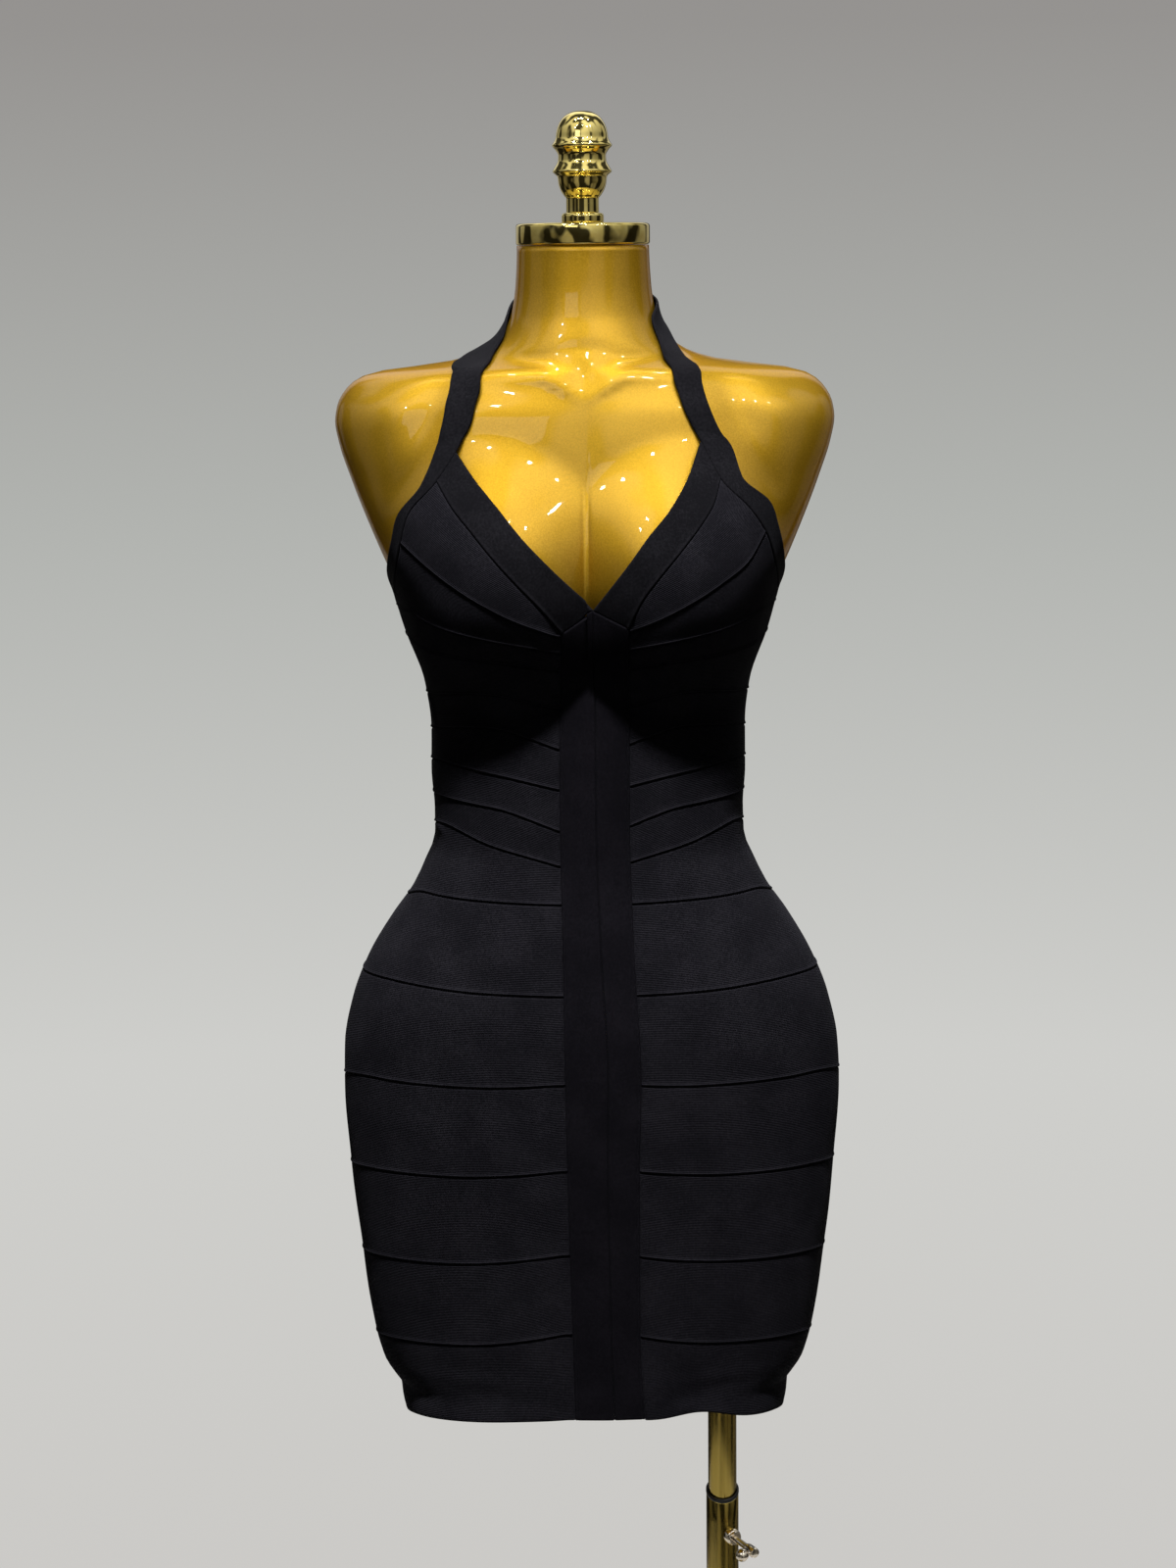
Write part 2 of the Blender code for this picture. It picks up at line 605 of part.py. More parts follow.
def make_middle_strip(side, material, collection):
    """One of the two narrow strips down the centre front, mitred to its neck band at the top."""
    corner = NECK_BANDS[side][0]
    grid = []
    for share in (0.0, 0.5, 1.0):
        top = (1 - share) * corner[1] + share * corner[3]
        bottom = level_seam("hem", np.array(0.0))
        height = np.linspace(bottom, top, MIDDLE_STRIP_ROWS + 1)
        x = (1 - share) * panel_edge("middle", height) + share * panel_edge(f"{side}_edge", height)
        grid.append(np.stack([angle_at(x, height), height], -1))
    grid = np.array(grid).transpose(1, 0, 2)
    cloth_sheet(f"middle_strip_{side}", side, grid, material, collection)


def make_strap(side, material, collection):
    rows = np.linspace(0, STRAP_END, 2 * STRAP_END + 1)
    inner = np.stack(strap_point(side, rows, "inner"), -1)
    outer = np.stack(strap_point(side, rows, "outer"), -1)
    grid = np.array([outer, (inner + outer) / 2, inner])[:, ::-1]
    cloth_sheet(f"strap_{side}", side, grid, material, collection)


def make_back_binding(material, collection):
    angle = np.linspace(BACK_EDGE[0][0], 360 - BACK_EDGE[0][0], BACK_BINDING_STEPS + 1)
    low, high = back_edge("lower_height", angle), back_edge("upper_height", angle)
    grid = np.array([np.stack([angle, height], -1) for height in (low, high)])
    cloth_sheet("back_binding", "right", grid, material, collection)


def make_form(material, collection):
    """The limbless form: a loft through its level sections, closed by flat ends."""
    heights = sorted(row[0] for row in FORM_SECTIONS if row[0] <= FORM_TOP)
    levels = [heights[0]]
    for low, high in zip(heights, heights[1:]):
        parts = max(1, math.ceil((high - low) / FORM_ROW_HEIGHT))
        levels += [low + (high - low) * i / parts for i in range(1, parts + 1)]
    angles = np.arange(FORM_COLUMNS) * 360 / FORM_COLUMNS
    builder = bmesh.new()
    rings = [[builder.verts.new(p) for p in form_point(angles, np.full(FORM_COLUMNS, z))] for z in levels]
    for low, high in zip(rings, rings[1:]):
        for i in range(FORM_COLUMNS):
            j = (i + 1) % FORM_COLUMNS
            builder.faces.new((low[i], low[j], high[j], high[i]))
    builder.faces.new(rings[0][::-1])
    builder.faces.new(rings[-1])
    return add_object("dress_form", builder, material, collection)


def turned(name, profile, material, collection, location=(0, 0, 0), steps=FINIAL_SIDES):
    """A turned piece: its profile, from the bottom up as (radius, height), on a Screw modifier."""
    builder = bmesh.new()
    verts = [builder.verts.new((radius, 0, height)) for radius, height in reversed(profile)]
    for a, b in zip(verts, verts[1:]):
        builder.edges.new((a, b))
    obj = add_object(name, builder, material, collection)
    obj.location = location
    screw = obj.modifiers.new("turn", "SCREW")
    screw.steps = screw.render_steps = steps
    screw.use_merge_vertices = True
    screw.merge_threshold = 0.0001
    return obj


def cylinder(name, radius, length, material, collection, frame=None, sides=TUBE_SIDES):
    """A closed cylinder from the frame's origin along its Z axis."""
    builder = bmesh.new()
    bmesh.ops.create_cone(
        builder, cap_ends=True, segments=sides, radius1=radius, radius2=radius, depth=length
    )
    bmesh.ops.translate(builder, verts=builder.verts, vec=(0, 0, length / 2))
    obj = add_object(name, builder, material, collection)
    obj.matrix_world = frame if frame is not None else Matrix.Identity(4)
    return obj


def ring(name, bore, radius, low, high, slopes, material, collection):
    """A plain ring round the pole; slopes says how steeply its bottom and top fall to the front."""
    builder = bmesh.new()
    loops = []
    for ring_radius, height, tilt in (
        (bore, low, slopes[0]), (radius, low, slopes[0]), (radius, high, slopes[1]), (bore, high, slopes[1])
    ):
        loops.append([])
        for i in range(TUBE_SIDES):
            turn = 2 * math.pi * i / TUBE_SIDES
            y = ring_radius * math.sin(turn)
            loops[-1].append(builder.verts.new((ring_radius * math.cos(turn), y, height + tilt * y)))
    for a, b in zip(loops, loops[1:] + loops[:1]):
        for i in range(TUBE_SIDES):
            j = (i + 1) % TUBE_SIDES
            builder.faces.new((a[i], a[j], b[j], b[i]))
    obj = add_object(name, builder, material, collection)
    obj.location = (POLE_X, 0, 0)
    return obj


def frame_along(origin, direction, across):
    """A frame at origin whose Z axis is direction and whose X axis leans to across."""
    z = Vector(direction).normalized()
    x = (Vector(across) - Vector(across).dot(z) * z).normalized()
    matrix = Matrix((x, z.cross(x), z)).transposed().to_4x4()
    matrix.translation = origin
    return matrix


def make_stand(materials, collection, helpers):
    brass = materials["brass"]
    plate = cylinder("base_plate", BASE_RADIUS, BASE_THICKNESS, brass, collection, sides=BASE_SIDES)
    bevel = plate.modifiers.new("edge", "BEVEL")
    bevel.width = BASE_BEVEL
    bevel.segments = 2
    bevel.limit_method = "ANGLE"
    floor = BASE_THICKNESS + FIT_GAP
    ring("base_socket", OUTER_TUBE_RADIUS + FIT_GAP, SOCKET_RADIUS, floor, floor + SOCKET_HEIGHT, LEVEL,
         brass, collection)
    ring("outer_tube", OUTER_TUBE_BORE, OUTER_TUBE_RADIUS, floor, OUTER_TUBE_TOP, (0.0, COLLAR_SLOPE),
         brass, collection)
    collar_bottom = OUTER_TUBE_TOP + FIT_GAP
    ring("tube_collar", OUTER_TUBE_BORE, OUTER_TUBE_RADIUS + FIT_GAP, collar_bottom,
         collar_bottom + COLLAR_HEIGHT, (COLLAR_SLOPE, COLLAR_SLOPE), materials["black_plastic"], collection)
    ceiling = FORM_BOTTOM - FIT_GAP
    inner = cylinder("inner_tube", INNER_TUBE_RADIUS, ceiling - INNER_TUBE_BOTTOM, brass, collection)
    inner.location = (POLE_X, 0, INNER_TUBE_BOTTOM)
    ring("form_socket", OUTER_TUBE_BORE, SOCKET_RADIUS, ceiling - SOCKET_HEIGHT, ceiling, LEVEL,
         brass, collection)
    make_thumbscrew(materials["nickel"], collection, helpers)


def make_thumbscrew(material, collection, helpers):
    """The boss on the outer tube and the screw that turns in it, with its short ball-ended lever."""
    bearing = math.radians(SCREW_BEARING)
    outward = Vector((math.sin(bearing), -math.cos(bearing), 0.0))
    tangent = Vector((math.cos(bearing), math.sin(bearing), 0.0))
    centre = Vector((POLE_X, 0.0, SCREW_HEIGHT))
    boss_start = centre + outward * (OUTER_TUBE_RADIUS + FIT_GAP)
    cylinder("screw_boss", SCREW_BOSS_RADIUS, SCREW_BOSS_OUT, material, collection,
             frame_along(boss_start, outward, tangent), SCREW_SIDES)
    head = boss_start + outward * (SCREW_BOSS_OUT + FIT_GAP)
    screw = cylinder("thumbscrew", SCREW_SHANK_RADIUS, SCREW_SHANK_LENGTH, material, collection,
                     frame_along(head, outward, tangent), SCREW_SIDES)
    tilt = math.radians(SCREW_BAR_TILT)
    bar_way = -(tangent * math.cos(tilt) + Vector((0, 0, 1)) * math.sin(tilt)).normalized()
    middle = head + outward * (SCREW_SHANK_LENGTH - SCREW_BAR_INSET)
    bar = cylinder("screw_bar", SCREW_BAR_RADIUS, SCREW_BAR_REACH, material, helpers,
                   frame_along(middle, bar_way, outward), SCREW_SIDES)
    boolean(screw, as_helper(bar), "UNION")
    builder = bmesh.new()
    bmesh.ops.create_uvsphere(builder, u_segments=SCREW_SIDES, v_segments=SCREW_SIDES // 2,
                              radius=SCREW_BALL_RADIUS)
    ball = add_object("screw_ball", builder, material, helpers)
    ball.location = middle + bar_way * SCREW_BAR_REACH
    boolean(screw, as_helper(ball), "UNION")


def main():
    clear_scene()
    collection = new_collection("bodycon_dress")
    helpers = new_collection("helpers", hidden=True)
    materials = {name: make_material(name) for name in MATERIALS}
    knit = materials["knit"]
    make_form(materials["form_gold"], collection)
    cap = cylinder("neck_cap", CAP_RADIUS, CAP_THICKNESS, materials["brass"], collection, sides=FORM_COLUMNS)
    cap.location = (0, 0, FORM_TOP + FIT_GAP)
    cap_top = FORM_TOP + 2 * FIT_GAP + CAP_THICKNESS
    foot, head = FINIAL_PROFILE[0], FINIAL_PROFILE[1:]
    turned("finial", ((0.0, foot[1]), foot, *head), materials["brass"], collection, (0, 0, cap_top))
    make_stand(materials, collection, helpers)
    for side in SIDES:
        make_middle_strip(side, knit, collection)
        make_neck_band(side, knit, collection)
        make_strap(side, knit, collection)
        make_cups(side, knit, collection)
        make_level_bands(side, knit, collection)
    make_back_binding(knit, collection)


main()
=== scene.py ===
"""The looks of a halter bodycon dress on its gold dress form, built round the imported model.

Metres, +Z up, the dress faces -Y. Angles run round the body in degrees: 0 is the centre front, 90 the +X side.
The cloth's seams and the form's sections are those of the model; each piece is sampled finely here and gets
its rolled seam, its creases, its stitches and its knit.
"""

import math

import bmesh
import bpy
import numpy as np
from mathutils import Matrix, Vector


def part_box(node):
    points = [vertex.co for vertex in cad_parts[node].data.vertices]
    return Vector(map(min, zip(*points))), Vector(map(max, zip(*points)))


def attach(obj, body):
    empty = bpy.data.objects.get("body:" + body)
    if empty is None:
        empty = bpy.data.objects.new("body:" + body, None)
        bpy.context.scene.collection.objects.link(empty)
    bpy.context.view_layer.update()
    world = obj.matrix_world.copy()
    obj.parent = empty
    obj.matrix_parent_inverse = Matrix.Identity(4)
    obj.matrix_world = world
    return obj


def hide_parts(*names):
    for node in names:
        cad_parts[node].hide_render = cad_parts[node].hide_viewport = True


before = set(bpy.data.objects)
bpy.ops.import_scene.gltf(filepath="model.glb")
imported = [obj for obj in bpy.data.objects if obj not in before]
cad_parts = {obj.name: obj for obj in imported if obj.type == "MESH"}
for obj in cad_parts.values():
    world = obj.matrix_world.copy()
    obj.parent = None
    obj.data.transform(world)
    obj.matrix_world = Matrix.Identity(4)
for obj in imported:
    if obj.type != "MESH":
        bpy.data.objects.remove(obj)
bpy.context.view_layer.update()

DRESSED, POST, STAND, SCREW = "dressed_form", "post", "stand", "thumbscrew"


# ---------------- driving sizes, as in the model
CLOTH_WALL = 0.0015
CLOTH_GAP = 0.0018
CLOTH_LEAST_GAP = 0.0005
# How far each edge is drawn in, so that neighbours part by a hair.
EDGE_INSET = 0.000004
# The steps round (degrees) and up (metres) that the skin's normals are taken over.
NORMAL_STEP = (0.5, 0.0015)
FORM_TOP = 1.4963
POLE_X = 0.0985
# The knit is cut this much narrower than it is worn.
KNIT_STRETCH = 1.12


# ---------------- the body's level sections
# Each row is one level section of the form: how far it reaches sideways, forwards and backwards from the
# vertical axis, and the power of its outline (2 is an ellipse, more is squarer).
FORM_SECTIONS = (
    # height, half width, front, back, power
    (1.5200, 0.0478, 0.0460, 0.0500, 2.0),
    (1.4963, 0.0478, 0.0460, 0.0500, 2.0),
    (1.4700, 0.0490, 0.0475, 0.0515, 2.0),
    (1.4480, 0.0525, 0.0510, 0.0560, 2.0),
    (1.4330, 0.0600, 0.0560, 0.0620, 2.0),
    (1.4217, 0.0745, 0.0600, 0.0670, 1.9),
    (1.4150, 0.0960, 0.0630, 0.0710, 1.7),
    (1.4110, 0.1250, 0.0650, 0.0735, 1.6),
    (1.4085, 0.1460, 0.0665, 0.0750, 1.6),
    (1.4045, 0.1610, 0.0685, 0.0775, 1.7),
    (1.3960, 0.1730, 0.0720, 0.0820, 1.8),
    (1.3830, 0.1805, 0.0765, 0.0870, 1.95),
    (1.3720, 0.1822, 0.0795, 0.0900, 2.0),
    (1.3560, 0.1794, 0.0830, 0.0945, 2.1),
    (1.3300, 0.1710, 0.0870, 0.0990, 2.2),
    (1.3060, 0.1620, 0.0900, 0.1010, 2.3),
    (1.2800, 0.1515, 0.0910, 0.1010, 2.3),
    (1.2530, 0.1400, 0.0905, 0.0985, 2.3),
    (1.2200, 0.1300, 0.0890, 0.0945, 2.3),
    (1.1810, 0.1170, 0.0865, 0.0880, 2.3),
    (1.1490, 0.1130, 0.0845, 0.0820, 2.3),
    (1.1150, 0.1135, 0.0830, 0.0765, 2.3),
    (1.0870, 0.1115, 0.0820, 0.0735, 2.3),
    (1.0650, 0.1120, 0.0820, 0.0735, 2.3),
    (1.0430, 0.1205, 0.0835, 0.0780, 2.3),
    (1.0240, 0.1300, 0.0855, 0.0850, 2.3),
    (1.0000, 0.1465, 0.0885, 0.0960, 2.3),
    (0.9700, 0.1640, 0.0915, 0.1100, 2.35),
    (0.9400, 0.1760, 0.0940, 0.1210, 2.4),
    (0.9080, 0.1825, 0.0950, 0.1260, 2.4),
    (0.8700, 0.1838, 0.0950, 0.1255, 2.4),
    (0.8200, 0.1805, 0.0935, 0.1180, 2.4),
    (0.7590, 0.1745, 0.0905, 0.1060, 2.4),
    (0.7000, 0.1670, 0.0870, 0.0960, 2.4),
    (0.6720, 0.1615, 0.0845, 0.0920, 2.4),
    (0.6600, 0.1555, 0.0820, 0.0895, 2.4),
    (0.6530, 0.1480, 0.0780, 0.0860, 2.4),
    (0.6500, 0.1400, 0.0730, 0.0810, 2.4),
)
# Below the form's end the skirt hangs free and draws in towards its hem.
SKIRT_SECTIONS = (
    # height, half width, front, back, power
    (0.6720, 0.1615, 0.0845, 0.0920, 2.4),
    (0.6610, 0.1578, 0.0840, 0.0910, 2.4),
    (0.6530, 0.1520, 0.0832, 0.0900, 2.5),
    (0.6440, 0.1457, 0.0822, 0.0885, 2.6),
    (0.6300, 0.1440, 0.0810, 0.0870, 2.8),
    (0.6150, 0.1400, 0.0795, 0.0855, 2.8),
    (0.6000, 0.1340, 0.0780, 0.0840, 2.8),
)
SKIRT_TOP = 0.672

# Each bust mound: its centre, how far it stands out, and its reach each way.
BUST_X = 0.0700
BUST_HEIGHT = 1.2620
BUST_DEPTH = 0.0390
# The relief fades out towards the sides: it is whole where the cosine of the angle is over a third.
BUST_FACING = 3.0
FORM_BUST_REACH = {"in": 0.0960, "out": 0.0840, "up": 0.1040, "down": 0.0760, "power": 1.8}
CLOTH_BUST_REACH = {"in": 0.1100, "out": 0.0900, "up": 0.1040, "down": 0.0980, "power": 1.35}


# ---------------- the cloth's seams
# The front's two middle strips: x of their outer edges and of the seam between them, from neck to hem.
PANEL_COLUMNS = ("height", "left_edge", "middle", "right_edge")
PANEL_EDGES = (
    (1.2450, -0.0190, 0.0053, 0.0304),
    (1.0870, -0.0208, 0.0050, 0.0292),
    (0.9890, -0.0198, 0.0078, 0.0318),
    (0.9020, -0.0193, 0.0118, 0.0361),
    (0.8200, -0.0183, 0.0112, 0.0342),
    (0.7030, -0.0160, 0.0125, 0.0341),
    (0.6200, -0.0143, 0.0150, 0.0381),
)
# The level seams: their heights at the middle strips, on the front quarter, the flank, the side and the back.
SEAM_ANGLES = (14.0, 45.0, 70.0, 97.0, 180.0)
LEVEL_SEAMS = {
    # middle, quarter, flank, side, back
    "underbust": (1.1710, 1.1830, 1.1770, 1.1710, 1.1520),
    "midriff_1": (1.1410, 1.1555, 1.1510, 1.1430, 1.1270),
    "midriff_2": (1.1113, 1.1215, 1.1260, 1.1200, 1.1020),
    "midriff_3": (1.0805, 1.0965, 1.0995, 1.0975, 1.0760),
    "waist": (1.0546, 1.0680, 1.0790, 1.0715, 1.0490),
    "high_hip": (1.0270, 1.0275, 1.0270, 1.0150, 1.0090),
    "hip_1": (0.9608, 0.9622, 0.9650, 0.9600, 0.9480),
    "hip_2": (0.8957, 0.8930, 0.8930, 0.8800, 0.8820),
    "hip_3": (0.8308, 0.8250, 0.8223, 0.8120, 0.8170),
    "hip_4": (0.7657, 0.7577, 0.7535, 0.7440, 0.7530),
    "hip_5": (0.7033, 0.6935, 0.6880, 0.6770, 0.6900),
    "hem": (0.6347, 0.6312, 0.6265, 0.6150, 0.6260),
}
# The hem rides up a little on the +X quarter: by how much, at which angle and over how many degrees.
HEM_LIFT, HEM_LIFT_ANGLE, HEM_LIFT_REACH = 0.0065, 46.0, 11.0
# The cup's seams below its upper band, from the middle strips round to the strap, as (angle, height).
CUP_SEAMS = {
    "cup_1": ((14.0, 1.2265), (30.0, 1.2375), (42.0, 1.2495), (52.0, 1.2625), (59.0, 1.2745)),
    "cup_2": ((14.0, 1.2150), (30.0, 1.2205), (45.0, 1.2260), (60.0, 1.2325), (72.0, 1.2400)),
    "cup_3": ((14.0, 1.2015), (30.0, 1.2055), (45.0, 1.2090), (65.0, 1.2130), (82.0, 1.2185)),
}
# Each strap from the nape over the shoulder and down beside the cup: its two edges, as angle and height.
STRAPS = {
    # inner angle, inner height, outer angle, outer height
    "left": (
        (180.0, 1.4740, 180.0, 1.4540),
        (140.0, 1.4690, 140.0, 1.4490),
        (112.0, 1.4590, 116.0, 1.4390),
        (86.0, 1.4455, 101.0, 1.4290),
        (70.0, 1.4330, 88.0, 1.4205),
        (62.5, 1.4200, 74.0, 1.4130),
        (53.0, 1.4075, 62.5, 1.4060),
        (48.8, 1.3915, 58.0, 1.3900),
        (48.2, 1.3740, 56.6, 1.3740),
        (49.6, 1.3610, 56.4, 1.3590),
        (50.7, 1.3522, 56.9, 1.3490),
        (55.0, 1.3317, 59.4, 1.3285),
        (62.1, 1.3093, 66.0, 1.3070),
        (66.1, 1.2887, 70.3, 1.2880),
        (70.5, 1.2721, 75.5, 1.2735),
        (79.0, 1.2520, 85.5, 1.2565),
        (92.0, 1.2290, 97.0, 1.2370),
        (105.0, 1.2110, 105.0, 1.2235),
    ),
    "right": (
        (180.0, 1.4740, 180.0, 1.4540),
        (140.0, 1.4690, 140.0, 1.4490),
        (110.0, 1.4610, 112.0, 1.4410),
        (80.0, 1.4530, 93.0, 1.4350),
        (62.5, 1.4440, 79.0, 1.4285),
        (57.5, 1.4290, 69.5, 1.4210),
        (50.0, 1.4140, 60.5, 1.4110),
        (45.0, 1.3990, 54.6, 1.3990),
        (44.4, 1.3840, 52.8, 1.3830),
        (45.6, 1.3700, 53.6, 1.3670),
        (47.3, 1.3580, 55.7, 1.3540),
        (51.3, 1.3320, 57.4, 1.3330),
        (58.0, 1.3130, 64.4, 1.3155),
        (63.8, 1.2945, 68.2, 1.2975),
        (69.5, 1.2740, 74.5, 1.2760),
        (79.0, 1.2530, 85.0, 1.2575),
        (92.0, 1.2290, 97.0, 1.2370),
        (105.0, 1.2110, 105.0, 1.2235),
    ),
}
# Where each seam meets the strap's inner edge, in rows of its table, counted from the nape.
NECK_CORNER = 10
CUP_APEX = 11
CUP_SEAM_ENDS = {"cup_1": 13.0, "cup_2": 15.5, "cup_3": 16.5}
STRAP_END = 17
# The bound edge across the back, from the left strap's end to the right one's.
BACK_EDGE_COLUMNS = ("angle", "lower_height", "upper_height")
BACK_EDGE = (
    (105.0, 1.2110, 1.2235),
    (125.0, 1.1960, 1.2070),
    (150.0, 1.1850, 1.1965),
    (180.0, 1.1800, 1.1920),
)
# The neck's two bands, from the point of the neck up to the straps.
NECK_BANDS = {
    # inner x, inner height, outer x, outer height
    "left": (
        (0.0053, 1.2445, -0.0190, 1.2288),
        (-0.0120, 1.2610, -0.0337, 1.2469),
        (-0.0300, 1.2790, -0.0490, 1.2634),
        (-0.0450, 1.2950, -0.0645, 1.2806),
        (-0.0600, 1.3135, -0.0800, 1.2995),
        (-0.0760, 1.3325, -0.0930, 1.3150),
    ),
    "right": (
        (0.0053, 1.2445, 0.0304, 1.2322),
        (0.0170, 1.2595, 0.0395, 1.2515),
        (0.0300, 1.2765, 0.0510, 1.2672),
        (0.0445, 1.2960, 0.0670, 1.2862),
        (0.0580, 1.3120, 0.0800, 1.3025),
        (0.0700, 1.3310, 0.0895, 1.3170),
    ),
}
SIDES = {"left": -1, "right": 1}
# How far the band below the cups is cut back from their seam: at the front and, over these angles, the flank.
SEAM_EASE, FLANK_EASE, FLANK_EASE_FROM, FLANK_EASE_OVER = 0.0003, 0.0008, 60.0, 20.0


# ---------------- curves and surfaces
def smooth_curve(xs, ys, at):
    """The monotone cubic through the points (xs, ys), xs rising, read at each value in at."""
    xs, ys, at = np.asarray(xs, float), np.asarray(ys, float), np.asarray(at, float)
    step = np.diff(xs)
    slope = np.diff(ys) / step
    tangent = np.empty_like(ys)
    tangent[0], tangent[-1] = slope[0], slope[-1]
    for i in range(1, len(xs) - 1):
        a, b = slope[i - 1], slope[i]
        w1, w2 = 2 * step[i] + step[i - 1], step[i] + 2 * step[i - 1]
        tangent[i] = 0.0 if a * b <= 0 else (w1 + w2) / (w1 / a + w2 / b)
    k = np.clip(np.searchsorted(xs, at, side="right") - 1, 0, len(xs) - 2)
    t = np.clip((at - xs[k]) / step[k], 0.0, 1.0)
    return (
        (2 * t**3 - 3 * t**2 + 1) * ys[k]
        + (t**3 - 2 * t**2 + t) * step[k] * tangent[k]
        + (3 * t**2 - 2 * t**3) * ys[k + 1]
        + (t**3 - t**2) * step[k] * tangent[k + 1]
    )


def section_at(table, height):
    """Half width, front, back and power of the level section at each height."""
    rows = np.array(sorted(table))
    return [smooth_curve(rows[:, 0], rows[:, i], height) for i in range(1, 5)]


def level_radius(table, angle, height):
    """How far the section's outline lies from the vertical axis, in the direction of angle (radians)."""
    half_width, front, back, power = section_at(table, height)
    across, along = np.abs(np.sin(angle)), np.abs(np.cos(angle))
    depth = np.where(np.cos(angle) > 0, front, back)
    return ((across / half_width) ** power + (along / depth) ** power) ** (-1 / power)


def bust_relief(x, height, reach):
    """How far the two bust mounds stand out of the chest, forwards."""
    total = np.zeros(np.broadcast(x, height).shape)
    for side in (-1, 1):
        sideways = side * x - BUST_X
        upwards = height - BUST_HEIGHT
        across = sideways / np.where(sideways > 0, reach["out"], reach["in"])
        along = upwards / np.where(upwards > 0, reach["up"], reach["down"])
        mound = np.clip(1 - across**2 - along**2, 0, None) ** reach["power"]
        total = np.maximum(total, mound)
    return BUST_DEPTH * total


def body_point(angle, height, table, reach):
    """A point on the body's skin; angle in degrees."""
    angle, height = np.broadcast_arrays(np.radians(angle), np.asarray(height, float))
    radius = level_radius(table, angle, height)
    x, y = radius * np.sin(angle), -radius * np.cos(angle)
    facing = np.clip(np.cos(angle) * BUST_FACING, 0, 1)
    return np.stack([x, y - facing * bust_relief(x, height, reach), height], -1)


def cloth_base(angle, height):
    """The skin that the cloth follows: the form, its hollows bridged, and the free skirt below its end."""
    worn = body_point(angle, height, FORM_SECTIONS, CLOTH_BUST_REACH)
    free = body_point(angle, height, SKIRT_SECTIONS, CLOTH_BUST_REACH)
    return np.where((np.asarray(worn)[..., 2] < SKIRT_TOP)[..., None], free, worn)


def angle_at(x, height):
    """The angle at which the cloth's front lies at this x."""
    x, height = np.broadcast_arrays(np.asarray(x, float), np.asarray(height, float))
    low, high = np.full(x.shape, -90.0), np.full(x.shape, 90.0)
    for _ in range(30):
        middle = (low + high) / 2
        inside = cloth_base(middle, height)[..., 0] < x
        low, high = np.where(inside, middle, low), np.where(inside, high, middle)
    return (low + high) / 2


# ---------------- creases and the small unevenness of worn cloth
# Each soft crease runs from one place to another and is named by the stretch of cloth that it crosses. Out is how
# far it stands proud, or lies in if below zero; its half width is measured across it.
CREASES = (
    # from angle, height, to angle, height, half width, out
    (-78.0, 1.1850, -74.0, 1.1420, 0.0030, 0.0016),
    (-70.0, 1.1700, -80.0, 1.1560, 0.0050, -0.0007),
    (-82.0, 1.0800, -66.0, 1.0700, 0.0035, 0.0014),
    (-90.0, 1.0720, -72.0, 1.0590, 0.0040, -0.0008),
    (-24.0, 1.2350, -13.0, 1.2240, 0.0022, 0.0006),
    (-22.0, 1.2300, -14.0, 1.2190, 0.0020, -0.0006),
    (16.0, 1.2380, 24.0, 1.2450, 0.0024, 0.0005),
    (52.0, 1.1420, 78.0, 1.1450, 0.0040, 0.0008),
    (56.0, 1.1280, 82.0, 1.1290, 0.0050, -0.0008),
    (48.0, 1.1120, 76.0, 1.1160, 0.0040, 0.0008),
    (60.0, 1.0860, 86.0, 1.0830, 0.0045, -0.0008),
    (-60.0, 1.1180, -84.0, 1.1230, 0.0045, 0.0008),
    (-62.0, 1.0980, -84.0, 1.0940, 0.0050, -0.0007),
    (-62.0, 0.6530, -24.0, 0.6500, 0.0065, -0.0012),
    (-24.0, 0.6610, 22.0, 0.6650, 0.0080, -0.0008),
    (30.0, 0.6520, 64.0, 0.6560, 0.0070, -0.0013),
    (-40.0, 0.6400, -16.0, 0.6390, 0.0050, 0.0008),
    (34.0, 0.6420, 50.0, 0.6400, 0.0050, 0.0009),
    (-68.0, 0.6640, -40.0, 0.6640, 0.0050, 0.0006),
    (44.0, 0.6660, 70.0, 0.6680, 0.0050, 0.0006),
    (104.0, 0.6540, 150.0, 0.6500, 0.0070, -0.0012),
    (160.0, 0.6520, 215.0, 0.6480, 0.0070, -0.0011),
    (225.0, 0.6500, 258.0, 0.6560, 0.0070, -0.0012),
    (118.0, 1.1350, 168.0, 1.1180, 0.0045, 0.0010),
    (126.0, 1.1100, 186.0, 1.0980, 0.0050, -0.0010),
    (176.0, 1.1240, 236.0, 1.1380, 0.0045, 0.0010),
    (170.0, 1.0880, 232.0, 1.0960, 0.0055, -0.0010),
    (122.0, 1.0800, 176.0, 1.0690, 0.0050, 0.0010),
    (186.0, 1.0700, 240.0, 1.0780, 0.0050, 0.0009),
    (150.0, 1.0480, 206.0, 1.0460, 0.0060, -0.0010),
    (112.0, 1.1750, 150.0, 1.1600, 0.0045, 0.0008),
    (212.0, 1.1620, 250.0, 1.1740, 0.0045, 0.0008),
    (150.0, 0.8420, 178.0, 0.8300, 0.0060, -0.0007),
    (184.0, 0.8320, 214.0, 0.8440, 0.0060, -0.0007),
)
# Creases are laid out on a body of this radius. Each bows a little along its way and fades at both ends.
CREASE_RADIUS, CREASE_BOW, CREASE_BOW_TURN, CREASE_FADE = 0.14, 0.10, 9.0, 1.3
# The unevenness everywhere else: waves in a turn round the body, three times the waves up a metre, and how far out.
RIPPLES = ((5.0, 21.0, 0.00018), (8.0, -34.0, 0.00014), (13.0, 47.0, 0.00010), (3.0, -11.0, 0.00022))


